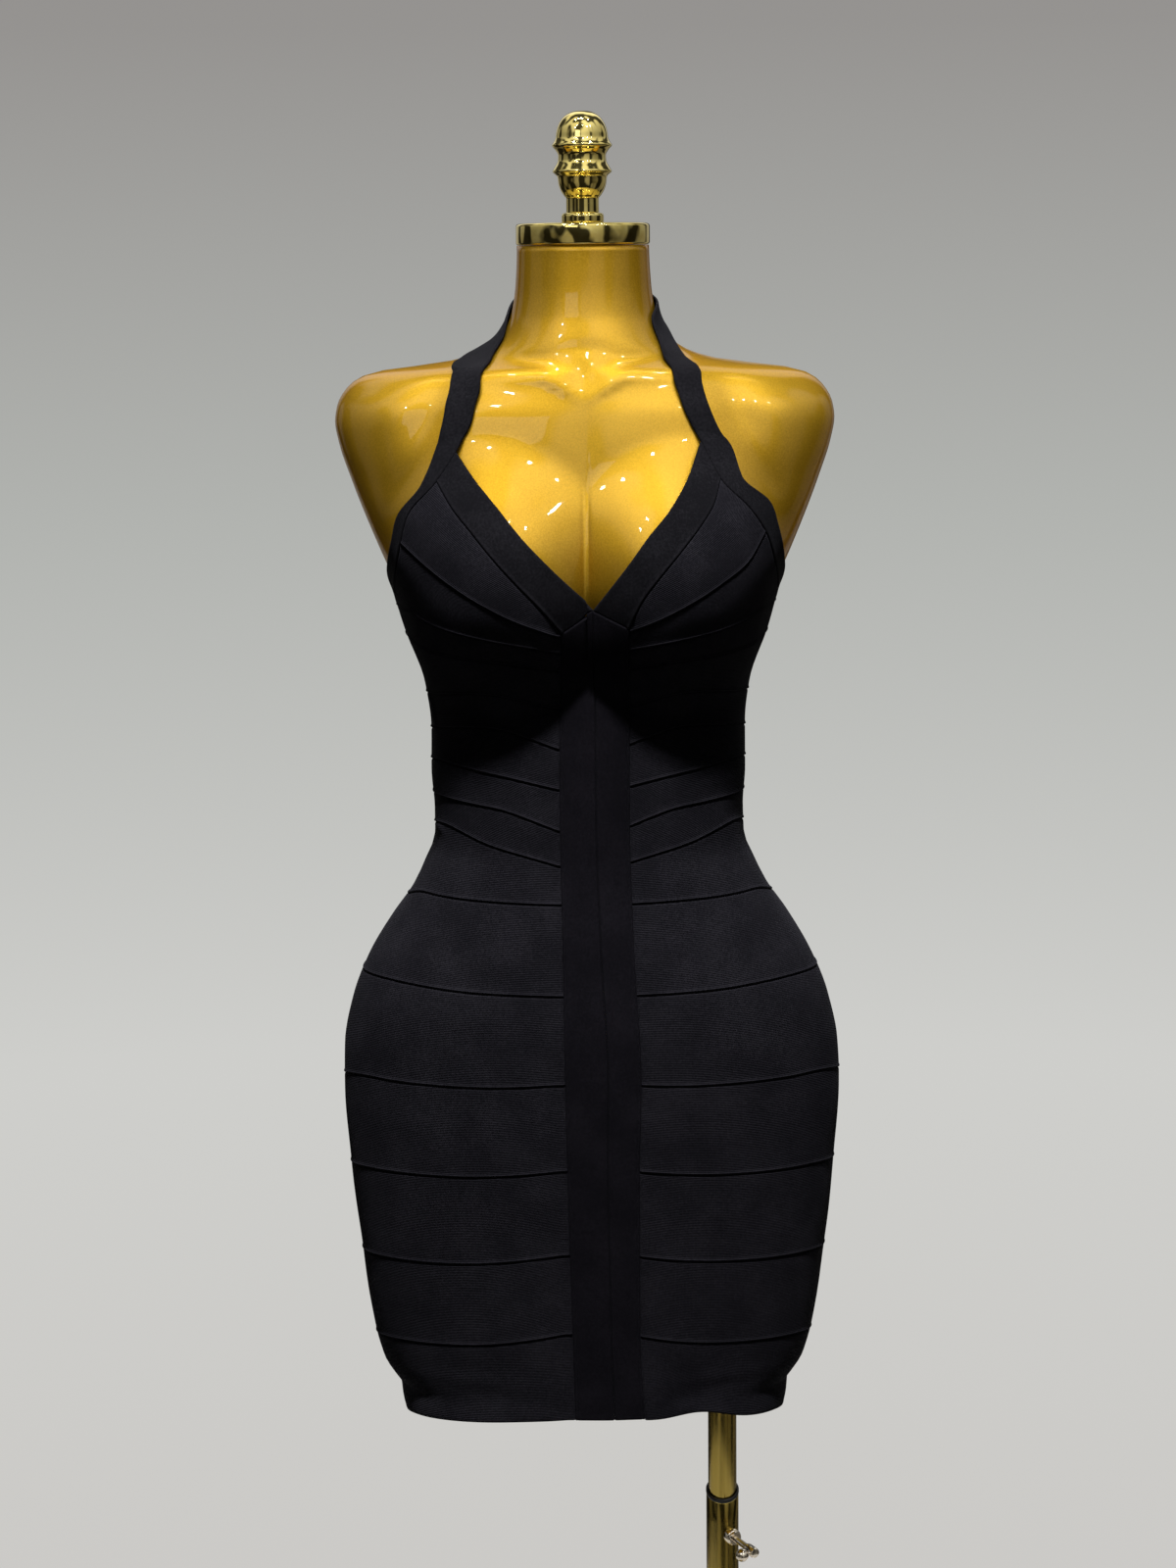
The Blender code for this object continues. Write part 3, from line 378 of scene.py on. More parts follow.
def crease_lift(angle, height):
    """How far the creases and ripples move the cloth out at each place."""
    lift = np.zeros(np.broadcast(angle, height).shape)
    for turns, rise, size in RIPPLES:
        lift += size * np.sin(np.radians(angle) * turns + height * rise * 2 * math.pi / 3 + turns)
    for angle_a, height_a, angle_b, height_b, half_width, out in CREASES:
        middle = (angle_a + angle_b) / 2
        turned_angle = (angle - middle + 180) % 360 - 180 + middle
        along_x = math.radians(angle_b - angle_a) * CREASE_RADIUS
        along_z = height_b - height_a
        length = math.hypot(along_x, along_z)
        x = np.radians(turned_angle - angle_a) * CREASE_RADIUS
        z = height - height_a
        forward = (x * along_x + z * along_z) / length
        bow = CREASE_BOW * half_width * np.sin(forward / length * CREASE_BOW_TURN)
        sideways = (z * along_x - x * along_z) / length + bow
        share = np.clip(forward / length, 0, 1)
        fade = np.sin(math.pi * share) ** CREASE_FADE
        lift += out * fade * np.exp(-((sideways / half_width) ** 2))
    return lift


def cloth_frame(angle, height):
    """The skin's points and its outward normals."""
    turn, rise = NORMAL_STEP
    across = cloth_base(angle + turn, height) - cloth_base(angle - turn, height)
    upwards = cloth_base(angle, height + rise) - cloth_base(angle, height - rise)
    normal = np.cross(across, upwards)
    normal /= np.linalg.norm(normal, axis=-1, keepdims=True)
    return cloth_base(angle, height), normal


# ---------------- shader nodes
def new_material(name):
    material = bpy.data.materials.new(name)
    material.use_nodes = True
    return material, material.node_tree, material.node_tree.nodes["Principled BSDF"]


def set_inputs(node, values):
    for name, value in values.items():
        node.inputs[name].default_value = value


def add_maths(tree, operation, *inputs):
    """A maths node's result; each input is a number or another node's output."""
    node = tree.nodes.new("ShaderNodeMath")
    node.operation = operation
    for socket, value in zip(node.inputs, inputs):
        if isinstance(value, bpy.types.NodeSocket):
            tree.links.new(value, socket)
        else:
            socket.default_value = value
    return node.outputs[0]


def add_node(tree, kind, source, socket, values=None):
    """A node of this kind with its values set and the source linked to one of its inputs."""
    node = tree.nodes.new(kind)
    set_inputs(node, values or {})
    tree.links.new(source, node.inputs[socket])
    return node


def add_noise(tree, place, scale, detail=2.0):
    values = {"Scale": scale, "Detail": detail}
    return add_node(tree, "ShaderNodeTexNoise", place, "Vector", values).outputs["Fac"]


def add_stretch(tree, place, scale):
    return add_node(tree, "ShaderNodeMapping", place, "Vector", {"Scale": scale}).outputs["Vector"]


def add_range(tree, source, low, high, start=0.0):
    """Low where the source is at start, high where it is 1."""
    values = {"From Min": start, "To Min": low, "To Max": high}
    return add_node(tree, "ShaderNodeMapRange", source, "Value", values).outputs[0]


def add_ramp(tree, source, stops):
    """The colour between the stops, each (place, colour), where the source says."""
    node = add_node(tree, "ShaderNodeValToRGB", source, "Fac")
    elements = node.color_ramp.elements
    while len(elements) < len(stops):
        elements.new(0.5)
    for element, (place, colour) in zip(elements, stops):
        element.position = place
        element.color = (*colour, 1.0)
    return node.outputs["Color"]


def add_bump(tree, shader, source, strength, distance):
    values = {"Strength": strength, "Distance": distance}
    bump = add_node(tree, "ShaderNodeBump", source, "Height", values)
    tree.links.new(bump.outputs["Normal"], shader.inputs["Normal"])


def object_place(tree):
    return tree.nodes.new("ShaderNodeTexCoord").outputs["Object"]


# ---------------- materials
def knit_material(name, pitch, depth, dark, light, roughness, sheen):
    """A fine rib knit: ribs along U, spaced pitch metres apart in V, each made of small stitches."""
    material, tree, shader = new_material(name)
    uv = tree.nodes.new("ShaderNodeUVMap")
    uv.uv_map = "cloth"
    split = add_node(tree, "ShaderNodeSeparateXYZ", uv.outputs["UV"], "Vector")

    def wave(axis, step, lean=0.0):
        """A sine along U or V with this step in metres, from 0 to 1."""
        turn = add_maths(tree, "MULTIPLY", split.outputs[axis], 2 * math.pi / step)
        sine = add_maths(tree, "SINE", add_maths(tree, "ADD", turn, lean))
        return add_maths(tree, "MULTIPLY_ADD", sine, 0.5, 0.5)

    ribs = wave("Y", pitch)
    loops = wave("X", pitch * 0.8, lean=ribs)
    weave = add_maths(tree, "MULTIPLY_ADD", loops, 0.35, ribs)
    place = object_place(tree)
    grain = add_noise(tree, place, scale=620.0, detail=4.0)
    height = add_maths(tree, "MULTIPLY_ADD", grain, 0.8, weave)
    add_bump(tree, shader, height, strength=0.7, distance=depth)
    # The colour follows broad patches, the yarn's grain and, least, the weave, which is painted shade: the ribs'
    # crests lighter and their grooves darker.
    patches = add_noise(tree, place, scale=30.0, detail=5.0)
    shade = add_maths(tree, "MULTIPLY_ADD", weave, 0.08, add_maths(tree, "MULTIPLY", grain, 0.45))
    shade = add_maths(tree, "MULTIPLY_ADD", patches, 0.35, shade)
    tree.links.new(add_ramp(tree, shade, ((0.40, dark), (0.60, light))), shader.inputs["Base Color"])
    set_inputs(shader, {
        "Roughness": roughness, "Specular IOR Level": 0.012, "Sheen Weight": sheen,
        "Sheen Roughness": 0.45, "Sheen Tint": (0.80, 0.82, 0.95, 1.0),
    })
    return material


def gold_paint():
    """Metallic gold paint with fine flakes under a glossy clear coat."""
    material, tree, shader = new_material("gold_paint")
    place = object_place(tree)
    flakes = add_noise(tree, place, scale=900.0)
    clouds = add_noise(tree, place, scale=9.0, detail=4.0)
    mixed = add_maths(tree, "MULTIPLY_ADD", clouds, 0.45, add_maths(tree, "MULTIPLY", flakes, 0.55))
    colour = add_ramp(tree, mixed, ((0.35, (0.60, 0.335, 0.018)), (0.65, (0.79, 0.470, 0.036))))
    tree.links.new(colour, shader.inputs["Base Color"])
    tree.links.new(add_range(tree, flakes, 0.42, 0.52), shader.inputs["Roughness"])
    add_bump(tree, shader, clouds, strength=0.12, distance=0.0004)
    set_inputs(shader, {
        "Metallic": 0.95, "Specular Tint": (0.42, 0.20, 0.03, 1.0), "Coat Weight": 0.6, "Coat Roughness": 0.035,
    })
    return material


def metal(name, dark, light, roughness, upright):
    """Polished metal with faint smears, drawn out up the piece where upright is far below 30."""
    material, tree, shader = new_material(name)
    stretched = add_stretch(tree, object_place(tree), (30.0, 30.0, upright))
    smears = add_noise(tree, stretched, scale=4.0, detail=6.0)
    tree.links.new(add_ramp(tree, smears, ((0.35, dark), (0.65, light))), shader.inputs["Base Color"])
    rough = add_range(tree, smears, roughness * 0.7, roughness * 1.5)
    tree.links.new(rough, shader.inputs["Roughness"])
    shader.inputs["Metallic"].default_value = 1.0
    return material


def black_plastic():
    material, tree, shader = new_material("moulded_black")
    grain = add_noise(tree, object_place(tree), scale=1200.0)
    colour = add_ramp(tree, grain, ((0.4, (0.008, 0.008, 0.008)), (0.6, (0.016, 0.016, 0.017))))
    tree.links.new(colour, shader.inputs["Base Color"])
    add_bump(tree, shader, grain, strength=0.2, distance=0.0001)
    shader.inputs["Roughness"].default_value = 0.42
    return material


MATERIALS = {
    "band": knit_material(
        "rib_knit", pitch=0.00125, depth=0.00028, dark=(0.0052, 0.0050, 0.0064),
        light=(0.0112, 0.0106, 0.0132), roughness=0.72, sheen=0.006
    ),
    "smooth": knit_material(
        "fine_knit", pitch=0.00062, depth=0.00012, dark=(0.0034, 0.0033, 0.0040),
        light=(0.0076, 0.0073, 0.0087), roughness=0.68, sheen=0.006
    ),
    "strip": knit_material(
        "strip_knit", pitch=0.00070, depth=0.00016, dark=(0.0034, 0.0032, 0.0042),
        light=(0.0066, 0.0060, 0.0078), roughness=0.80, sheen=0.004
    ),
    "gold": gold_paint(),
    "brass": metal("polished_brass", (0.72, 0.56, 0.16), (0.90, 0.74, 0.26), 0.05, 30.0),
    "pole": metal("lacquered_brass", (0.30, 0.215, 0.045), (0.44, 0.33, 0.09), 0.16, 1.0),
    "nickel": metal("warm_nickel", (0.60, 0.52, 0.40), (0.76, 0.69, 0.58), 0.11, 30.0),
    "black": black_plastic(),
}


# ---------------- making pieces
def finish_piece(name, builder, material, body, node=None):
    """A named, smooth-shaded object from a bmesh, riding on its body and standing for its CAD node."""
    mesh = bpy.data.meshes.new(name)
    builder.normal_update()
    builder.to_mesh(mesh)
    builder.free()
    mesh.materials.append(MATERIALS[material])
    mesh.shade_smooth()
    obj = bpy.data.objects.new(name, mesh)
    bpy.context.scene.collection.objects.link(obj)
    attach(obj, body)
    if node:
        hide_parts(node)
    return obj


def join_rings(builder, rings):
    """Faces between each ring of vertices and the next; a ring of one vertex is a tip."""
    for a, b in zip(rings, rings[1:]):
        sides = max(len(a), len(b))
        for i in range(sides):
            j = (i + 1) % sides
            if len(a) == 1:
                builder.faces.new((a[0], b[j], b[i]))
            elif len(b) == 1:
                builder.faces.new((a[i], a[j], b[0]))
            else:
                builder.faces.new((a[i], a[j], b[j], b[i]))


def arc_lengths(points, axis):
    """How far each point lies along its row or column from the first."""
    steps = np.linalg.norm(np.diff(points, axis=axis), axis=-1)
    zero = np.zeros_like(np.take(steps, [0], axis))
    return np.concatenate([zero, np.cumsum(steps, axis=axis)], axis)


EDGE_STEPS = (0.0, 0.00022, 0.00050, 0.00085, 0.00125, 0.00170, 0.00230, 0.00310, 0.00420)


def spread(length, pitch):
    """Places from 0 to 1 along a length: closely spaced at both ends, pitch apart between."""
    edge = [step / length for step in EDGE_STEPS if step < 0.3 * length]
    parts = max(2, round((length - 2 * edge[-1] * length) / pitch) + 1)
    inner = np.linspace(edge[-1], 1 - edge[-1], parts)
    return np.concatenate([edge[:-1], inner, [1 - step for step in reversed(edge[:-1])]])


def hump(distance, centre, width):
    return np.exp(-(((distance - centre) / width) ** 2))


# What each kind of edge does to the cloth's outer skin, by the distance from that edge.
def lip(distance):
    """A turned seam that stands proud and rolls down to its edge."""
    return 0.00062 * hump(distance, 0.0013, 0.0010) - 0.0009 * hump(distance, 0.0, 0.00045)


def tuck(distance):
    """An edge drawn under its neighbour's lip."""
    return -0.0006 * hump(distance, 0.0, 0.0009)


def fold(distance):
    """A folded, rounded free edge."""
    return 0.00018 * hump(distance, 0.0022, 0.0016) - 0.0008 * hump(distance, 0.0, 0.00040)


def applied(distance):
    """The strip's edge, stitched down over the bands' ends."""
    return 0.00045 - 0.0011 * hump(distance, 0.0, 0.00040) - 0.00040 * hump(distance, 0.0018, 0.00055)


def butt(distance):
    return -0.0005 * hump(distance, 0.0, 0.0006)


def centre_butt(distance):
    """The middle strips' meeting edges, level with the applied edge beside them."""
    return 0.00045 - 0.0012 * hump(distance, 0, 0.0006)


def applied_flank(distance):
    return applied(distance) - 0.00045


def cloth_piece(node, grid, material, edges, mirrored=False):
    """A cloth piece as a closed wall over a grid of (angle, height), with its edges' profiles and its creases."""
    if mirrored:
        grid = grid[:, ::-1]
        edges = {**edges, "start": edges["end"], "end": edges["start"]}
    base, normal = cloth_frame(grid[..., 0], grid[..., 1])
    up, round_it = arc_lengths(base, 0), arc_lengths(base, 1)
    profile = (
        edges["low"](up)
        + edges["high"](up[-1:] - up)
        + edges["start"](round_it)
        + edges["end"](round_it[:, -1:] - round_it)
    )
    creased = crease_lift(grid[..., 0], grid[..., 1])
    outer_lift = CLOTH_GAP + CLOTH_WALL + creased + profile
    inner_lift = np.maximum(CLOTH_GAP + creased, CLOTH_LEAST_GAP)
    builder = bmesh.new()
    uv = builder.loops.layers.uv.new("cloth")
    skins = []
    for lift in (inner_lift, outer_lift):
        points = drawn_in(base + lift[..., None] * normal)
        skins.append([[builder.verts.new(p) for p in row] for row in points])
    inner, outer = skins
    rows, columns = grid.shape[:2]
    place = {}
    for skin in skins:
        for i in range(rows):
            for j in range(columns):
                place[skin[i][j]] = (round_it[i, j], up[i, j])

    def face(*verts):
        made = builder.faces.new(verts)
        for loop in made.loops:
            loop[uv].uv = place[loop.vert]

    for i in range(rows - 1):
        for j in range(columns - 1):
            face(outer[i][j], outer[i][j + 1], outer[i + 1][j + 1], outer[i + 1][j])
            face(inner[i][j], inner[i + 1][j], inner[i + 1][j + 1], inner[i][j + 1])
    rims = (
        (inner[0], outer[0]),
        (inner[-1][::-1], outer[-1][::-1]),
        ([row[0] for row in inner][::-1], [row[0] for row in outer][::-1]),
        ([row[-1] for row in inner], [row[-1] for row in outer]),
    )
    for inside, outside in rims:
        for i in range(len(inside) - 1):
            face(inside[i], inside[i + 1], outside[i + 1], outside[i])
    piece = finish_piece(f"{node}_cloth", builder, material, DRESSED, node)
    width, length = float(round_it[:, -1].max()), float(up[-1].max())
    cell = np.cross(base[1:, 1:] - base[:-1, :-1], base[1:, :-1] - base[:-1, 1:])
    area = float(np.linalg.norm(cell, axis=-1).sum() / 2)
    return piece, width, length, area


def declare(made, with_pieces=(), across=False):
    """Works out what each piece was cut to, its worn size less the stretch round the body, and keeps nothing of it.
    """
    piece, width, length, area = made
    width, length = (width, length / KNIT_STRETCH) if across else (width / KNIT_STRETCH, length)
    area = min(area / KNIT_STRETCH, width * length)


# ---------------- the cloth's edges, as (angle, height)
def drawn_in(points):
    """A grid of points with each edge drawn in by EDGE_INSET."""
    drawn = points.copy()
    for axis in (0, 1):
        for edge, inside in ((0, 2), (-1, -3)):
            at_edge = np.take(points, edge, axis)
            inward = np.take(points, inside, axis) - at_edge
            inward /= np.linalg.norm(inward, axis=-1, keepdims=True)
            index = [slice(None)] * 3
            index[axis] = edge
            drawn[tuple(index)] += EDGE_INSET * inward
    return drawn


def along(table, at):
    """The table's rows joined by smooth curves and read at each row number in at; one array a column."""
    rows = np.array(table)
    return [smooth_curve(np.arange(len(rows)), rows[:, i], at) for i in range(rows.shape[1])]


def panel_edge(column, height):
    """x of the middle strips' edges or seam at each height."""
    rows = np.array(sorted(PANEL_EDGES))
    return smooth_curve(rows[:, 0], rows[:, PANEL_COLUMNS.index(column)], height)


def level_seam(name, angle):
    """The height of a level seam at each signed angle."""
    height = smooth_curve(SEAM_ANGLES, LEVEL_SEAMS[name], np.abs(angle))
    if name == "hem":
        height = height + HEM_LIFT * np.exp(-(((angle - HEM_LIFT_ANGLE) / HEM_LIFT_REACH) ** 2))
    return height


def strap_point(side, row, edge):
    """Signed angle and height on one edge of a strap."""
    inner_angle, inner_height, outer_angle, outer_height = along(STRAPS[side], row)
    if edge == "inner":
        return SIDES[side] * inner_angle, inner_height
    return SIDES[side] * outer_angle, outer_height


def cup_seam(side, name, t):
    """A cup's seam as signed angles and heights, from the middle strips to the strap."""
    end_angle, end_height = strap_point(side, CUP_SEAM_ENDS[name], "inner")
    rows = [*CUP_SEAMS[name], (abs(float(end_angle)), float(end_height))]
    start = float(angle_at(panel_edge(f"{side}_edge", rows[0][1]), rows[0][1]))
    angles = abs(start) + (abs(float(end_angle)) - abs(start)) * t
    heights = smooth_curve([r[0] for r in rows], [r[1] for r in rows], angles)
    return np.stack([SIDES[side] * angles, heights], -1)


def neck_band_edge(side, edge, t):
    """The inner or outer edge of a neck band as signed angles and heights, from the neck's point up."""
    corner = NECK_CORNER if edge == "inner" else CUP_APEX
    end_angle, end_height = strap_point(side, corner, "inner")
    end_x = float(cloth_base(end_angle, end_height)[0])
    first = 0 if edge == "inner" else 2
    rows = [row[first:first + 2] for row in NECK_BANDS[side]] + [(end_x, float(end_height))]
    x, height = along(rows, (len(rows) - 1) * t)
    return np.stack([angle_at(x, height), height], -1)


def strap_side(side, first, last, u):
    """The strap's inner edge between two of its rows."""
    return np.stack(strap_point(side, first + (last - first) * u, "inner"), -1)


def patch(low, high, start, end, t, u):
    """A grid of angles and heights filling four edge curves that meet at their ends."""
    t, u = t[None, :, None], u[:, None, None]
    between = (1 - u) * low[None] + u * high[None]
    across = (1 - t) * start[:, None] + t * end[:, None]
    corners = (1 - u) * ((1 - t) * low[0] + t * low[-1]) + u * ((1 - t) * high[0] + t * high[-1])
    return between + across - corners


def straight(a, b, u):
    return (1 - u[:, None]) * a + u[:, None] * b


def back_edge(column, angle):
    """The height of the bound back edge's lower or upper side at an angle counted round either way."""
    rows = np.array(BACK_EDGE)
    folded = np.minimum(np.abs(angle), 360 - np.abs(angle))
    return smooth_curve(rows[:, 0], rows[:, BACK_EDGE_COLUMNS.index(column)], folded)


def underbust_top(side, angle):
    """The upper edge of the band below the cups: their last seam, then the strap and the bound back edge."""
    folded = np.abs(angle)
    end_angle, end_height = strap_point(side, CUP_SEAM_ENDS["cup_3"], "inner")
    rows = [*CUP_SEAMS["cup_3"], (abs(float(end_angle)), float(end_height))]
    seam = smooth_curve([r[0] for r in rows], [r[1] for r in rows], folded)
    corner = np.interp(folded, (rows[-1][0], BACK_EDGE[0][0]), (rows[-1][1], BACK_EDGE[0][1]))
    beyond = np.where(folded < BACK_EDGE[0][0], corner, back_edge("lower_height", folded))
    ease = SEAM_EASE + FLANK_EASE * np.clip((folded - FLANK_EASE_FROM) / FLANK_EASE_OVER, 0, 1)
    return np.where(folded < rows[-1][0], seam, beyond) - ease


# ---------------- the dress
# About how long and how wide each kind of piece is, and how far apart it is sampled each way.
SAMPLES = {
    "neck_band": ((0.17, 0.0040), (0.022, 0.0035)),
    "cup": ((0.15, 0.0040), (0.026, 0.0040)),
    "middle_strip": ((0.61, 0.0050), (0.026, 0.0030)),
    "strap": ((0.60, 0.0040), (0.014, 0.0020)),
    "back_binding": ((0.36, 0.0040), (0.012, 0.0020)),
}
BAND_LENGTH, BAND_PITCH, BAND_ROW = 0.45, 0.0042, 0.0048
TOP_CUP_DEPTH = 0.028


def samples(kind):
    return [spread(*size) for size in SAMPLES[kind]]


def make_neck_band(side):
    t, u = samples("neck_band")
    inner, outer = neck_band_edge(side, "inner", t), neck_band_edge(side, "outer", t)
    top = strap_side(side, CUP_APEX, NECK_CORNER, u)
    grid = patch(outer, inner, straight(outer[0], inner[0], u), top, t, u)
    edges = {"low": lip, "high": fold, "start": butt, "end": tuck}
    declare(cloth_piece(f"neck_band_{side}", grid, "smooth", edges, SIDES[side] < 0))


def make_cups(side):
    length, (depth, pitch) = SAMPLES["cup"]
    t = spread(*length)
    seams = [("cup_band_1", neck_band_edge(side, "outer", t), CUP_APEX, TOP_CUP_DEPTH)]
    for i, (name, end) in enumerate(CUP_SEAM_ENDS.items()):
        seams.append((f"cup_band_{i + 2}", cup_seam(side, name, t), end, depth))
    for (name, high, high_end, depth), (_, low, low_end, _) in zip(seams, seams[1:]):
        u = spread(depth, pitch)
        end = strap_side(side, low_end, high_end, u)
        grid = patch(low, high, straight(low[0], high[0], u), end, t, u)
        edges = {"low": lip, "high": tuck, "start": tuck, "end": tuck}
        declare(cloth_piece(f"{name}_{side}", grid, "band", edges, SIDES[side] < 0))


def make_level_band(name, side, top, bottom, is_hem):
    middle = SIDES[side] * SEAM_ANGLES[0]
    u = spread(float(top(middle)) - float(bottom(middle)), BAND_ROW)
    t = spread(BAND_LENGTH, BAND_PITCH)
    grid = []
    for share in u:
        height = (1 - share) * bottom(middle) + share * top(middle)
        start = abs(float(angle_at(panel_edge(f"{side}_edge", height), height)))
        angle = SIDES[side] * (start + (180 - start) * t)
        grid.append(np.stack([angle, (1 - share) * bottom(angle) + share * top(angle)], -1))
    edges = {"low": fold if is_hem else lip, "high": tuck, "start": tuck, "end": butt}
    declare(cloth_piece(f"{name}_{side}", np.array(grid), "band", edges, SIDES[side] < 0))


def make_level_bands(side):
    def edge(name):
        return lambda angle: level_seam(name, angle)

    names = list(LEVEL_SEAMS)
    make_level_band("underbust_band", side, lambda angle: underbust_top(side, angle), edge(names[0]), False)
    labels = [f"{part}_band_{i}" for part in ("midriff", "hip") for i in range(1, 6)] + ["hem_band"]
    for label, top, bottom in zip(labels, names, names[1:]):
        make_level_band(label, side, edge(top), edge(bottom), bottom == "hem")


STITCH_LENGTH, STITCH_STEP, STITCH_RADIUS = 0.0022, 0.0034, 0.00022
# Each stitch stands this high on the cloth, its ends sunk and tapered.
STITCH_LIFT, STITCH_SINK, STITCH_TAPER, STITCH_SIDES = 0.00018, 0.00025, 0.45, 6
STITCH_ROWS = (0.07, 0.93)


def make_stitches(side):
    """Rows of topstitching down a middle strip, at STITCH_ROWS of its width from the seam."""
    builder = bmesh.new()
    low, high = LEVEL_SEAMS["hem"][0] + STITCH_STEP, NECK_BANDS[side][0][3] - STITCH_STEP
    heights = np.arange(low, high, STITCH_STEP)
    for share in STITCH_ROWS:
        ends = []
        for offset in (-0.5, 0.0, 0.5):
            z = heights + offset * STITCH_LENGTH
            middle, outside = panel_edge("middle", z), panel_edge(f"{side}_edge", z)
            angle = angle_at(middle + share * (outside - middle), z)
            base, normal = cloth_frame(angle, z)
            sunk = abs(offset) * 2 * STITCH_SINK
            lift = CLOTH_GAP + CLOTH_WALL + crease_lift(angle, z) + STITCH_LIFT - sunk
            ends.append(base + lift[:, None] * normal)
        for low_end, centre, high_end in zip(*ends):
            rings = []
            for point, size in ((low_end, STITCH_TAPER), (centre, 1.0), (high_end, STITCH_TAPER)):
                ring = []
                for k in range(STITCH_SIDES):
                    turn = 2 * math.pi * k / STITCH_SIDES
                    x, y = math.cos(turn) * STITCH_RADIUS * size, math.sin(turn) * STITCH_RADIUS * size
                    ring.append(builder.verts.new(point + np.array([x, y, 0.0])))
                rings.append(ring)
            join_rings(builder, rings)
            builder.faces.new(rings[0][::-1])
            builder.faces.new(rings[-1])
    return finish_piece(f"middle_strip_{side}_stitches", builder, "smooth", DRESSED)


def make_middle_strip(side):
    corner = NECK_BANDS[side][0]
    u, shares = samples("middle_strip")
    bottom = level_seam("hem", np.array(0.0))
    grid = []
    for share in shares:
        top = (1 - share) * corner[1] + share * corner[3]
        height = bottom + (top - bottom) * u
        x = (1 - share) * panel_edge("middle", height) + share * panel_edge(f"{side}_edge", height)
        grid.append(np.stack([angle_at(x, height), height], -1))
    grid = np.array(grid).transpose(1, 0, 2)
    edges = {"low": fold, "high": butt, "start": centre_butt, "end": applied_flank}
    made = cloth_piece(f"middle_strip_{side}", grid, "strip", edges, SIDES[side] < 0)
    declare(made, [make_stitches(side)], across=True)


def make_strap(side):
    rows, across = samples("strap")
    rows = rows * STRAP_END
    inner = np.stack(strap_point(side, rows, "inner"), -1)
    outer = np.stack(strap_point(side, rows, "outer"), -1)
    grid = np.array([(1 - s) * outer + s * inner for s in across])[:, ::-1]
    edges = {"low": fold, "high": fold, "start": butt, "end": butt}
    declare(cloth_piece(f"strap_{side}", grid, "smooth", edges, SIDES[side] < 0))


def make_back_binding():
    t, u = samples("back_binding")
    angle = BACK_EDGE[0][0] + (360 - 2 * BACK_EDGE[0][0]) * t
    low, high = back_edge("lower_height", angle), back_edge("upper_height", angle)
    grid = np.array([np.stack([angle, (1 - s) * low + s * high], -1) for s in u])
    edges = {"low": lip, "high": fold, "start": butt, "end": butt}
    declare(cloth_piece("back_binding", grid, "smooth", edges))


# ---------------- the form
FORM_TURN_COLUMNS = 220
FORM_ROW = 0.0045
RELIEF_FACING = 2.5
# What is pressed into the upper chest, and raised on it where the depth is below zero, on both sides alike: the
# throat's notch, the collarbones with the dips above and below them, the neck's base, the shoulders and the
# parting of the bust.
RELIEF = (
    # x, height, half width, half height, tilt in degrees, depth
    (0.0000, 1.4050, 0.0075, 0.0060, 0.0, 0.0022),
    (0.0190, 1.3990, 0.0160, 0.0028, 28.0, -0.0020),
    (0.0520, 1.4075, 0.0340, 0.0036, 3.0, -0.0022),
    (0.0440, 1.4160, 0.0300, 0.0042, 2.0, 0.0016),
    (0.0260, 1.4200, 0.0300, 0.0040, -8.0, 0.0010),
    (0.0560, 1.3940, 0.0380, 0.0080, 4.0, 0.0014),
    (0.1080, 1.3800, 0.0150, 0.0330, 28.0, 0.0045),
    (0.1500, 1.3800, 0.0200, 0.0160, -20.0, -0.0025),
    (0.1350, 1.3150, 0.0120, 0.0450, 22.0, 0.0030),
    (0.0000, 1.3000, 0.0018, 0.0450, 0.0, 0.0009),
    (0.0000, 1.3560, 0.0130, 0.0300, 0.0, 0.0014),
)


def form_relief(angle, height, x):
    """How far the relief is pressed in at each place on the front."""
    facing = np.clip(np.cos(np.radians(angle)) * RELIEF_FACING, 0, 1)
    depth = np.zeros(x.shape)
    for centre, level, half_width, half_height, tilt, sunk in RELIEF:
        for mirror in ((1,) if centre == 0 else (-1, 1)):
            cosine, sine = math.cos(math.radians(tilt)), math.sin(math.radians(tilt))
            across, upwards = mirror * x - centre, height - level
            a = (across * cosine + upwards * sine) / half_width
            b = (upwards * cosine - across * sine) / half_height
            depth += sunk * np.exp(-(a**2) - b**2)
    return facing * depth


def make_form():
    """The form's painted shell: its level sections, with the collarbones and the throat's notch."""
    rows = sorted(row[0] for row in FORM_SECTIONS if row[0] <= FORM_TOP)
    levels = [rows[0]]
    for low, high in zip(rows, rows[1:]):
        parts = max(1, math.ceil((high - low) / FORM_ROW))
        levels += [low + (high - low) * i / parts for i in range(1, parts + 1)]
    levels = np.array(levels)[:, None]
    angles = (np.arange(FORM_TURN_COLUMNS) * 360 / FORM_TURN_COLUMNS)[None, :]
    points = body_point(angles, levels, FORM_SECTIONS, FORM_BUST_REACH)
    signed = (angles + 180) % 360 - 180
    points[..., 1] += form_relief(signed, levels, points[..., 0])
    builder = bmesh.new()
    rings = [[builder.verts.new(p) for p in row] for row in points]
    bottom, top = (
        [builder.verts.new(sum((v.co for v in ring), Vector()) / len(ring))] for ring in (rings[0], rings[-1])
    )
    join_rings(builder, [bottom, *rings, top])
    finish_piece("form_shell", builder, "gold", DRESSED, "dress_form")


# ---------------- turned hardware
TUBE_BORE, TUBE_RADIUS, COLLAR_RADIUS = 0.0113, 0.0125, 0.0128
# The outer tube's mouth is cut off at a slant that falls to the front: its slope, and how far down it reaches.
MOUTH_SLOPE, MOUTH_DEPTH = 0.36, 0.021
OUTER_TUBE_TOP = 0.5405
COLLAR_LIFT = 0.0003
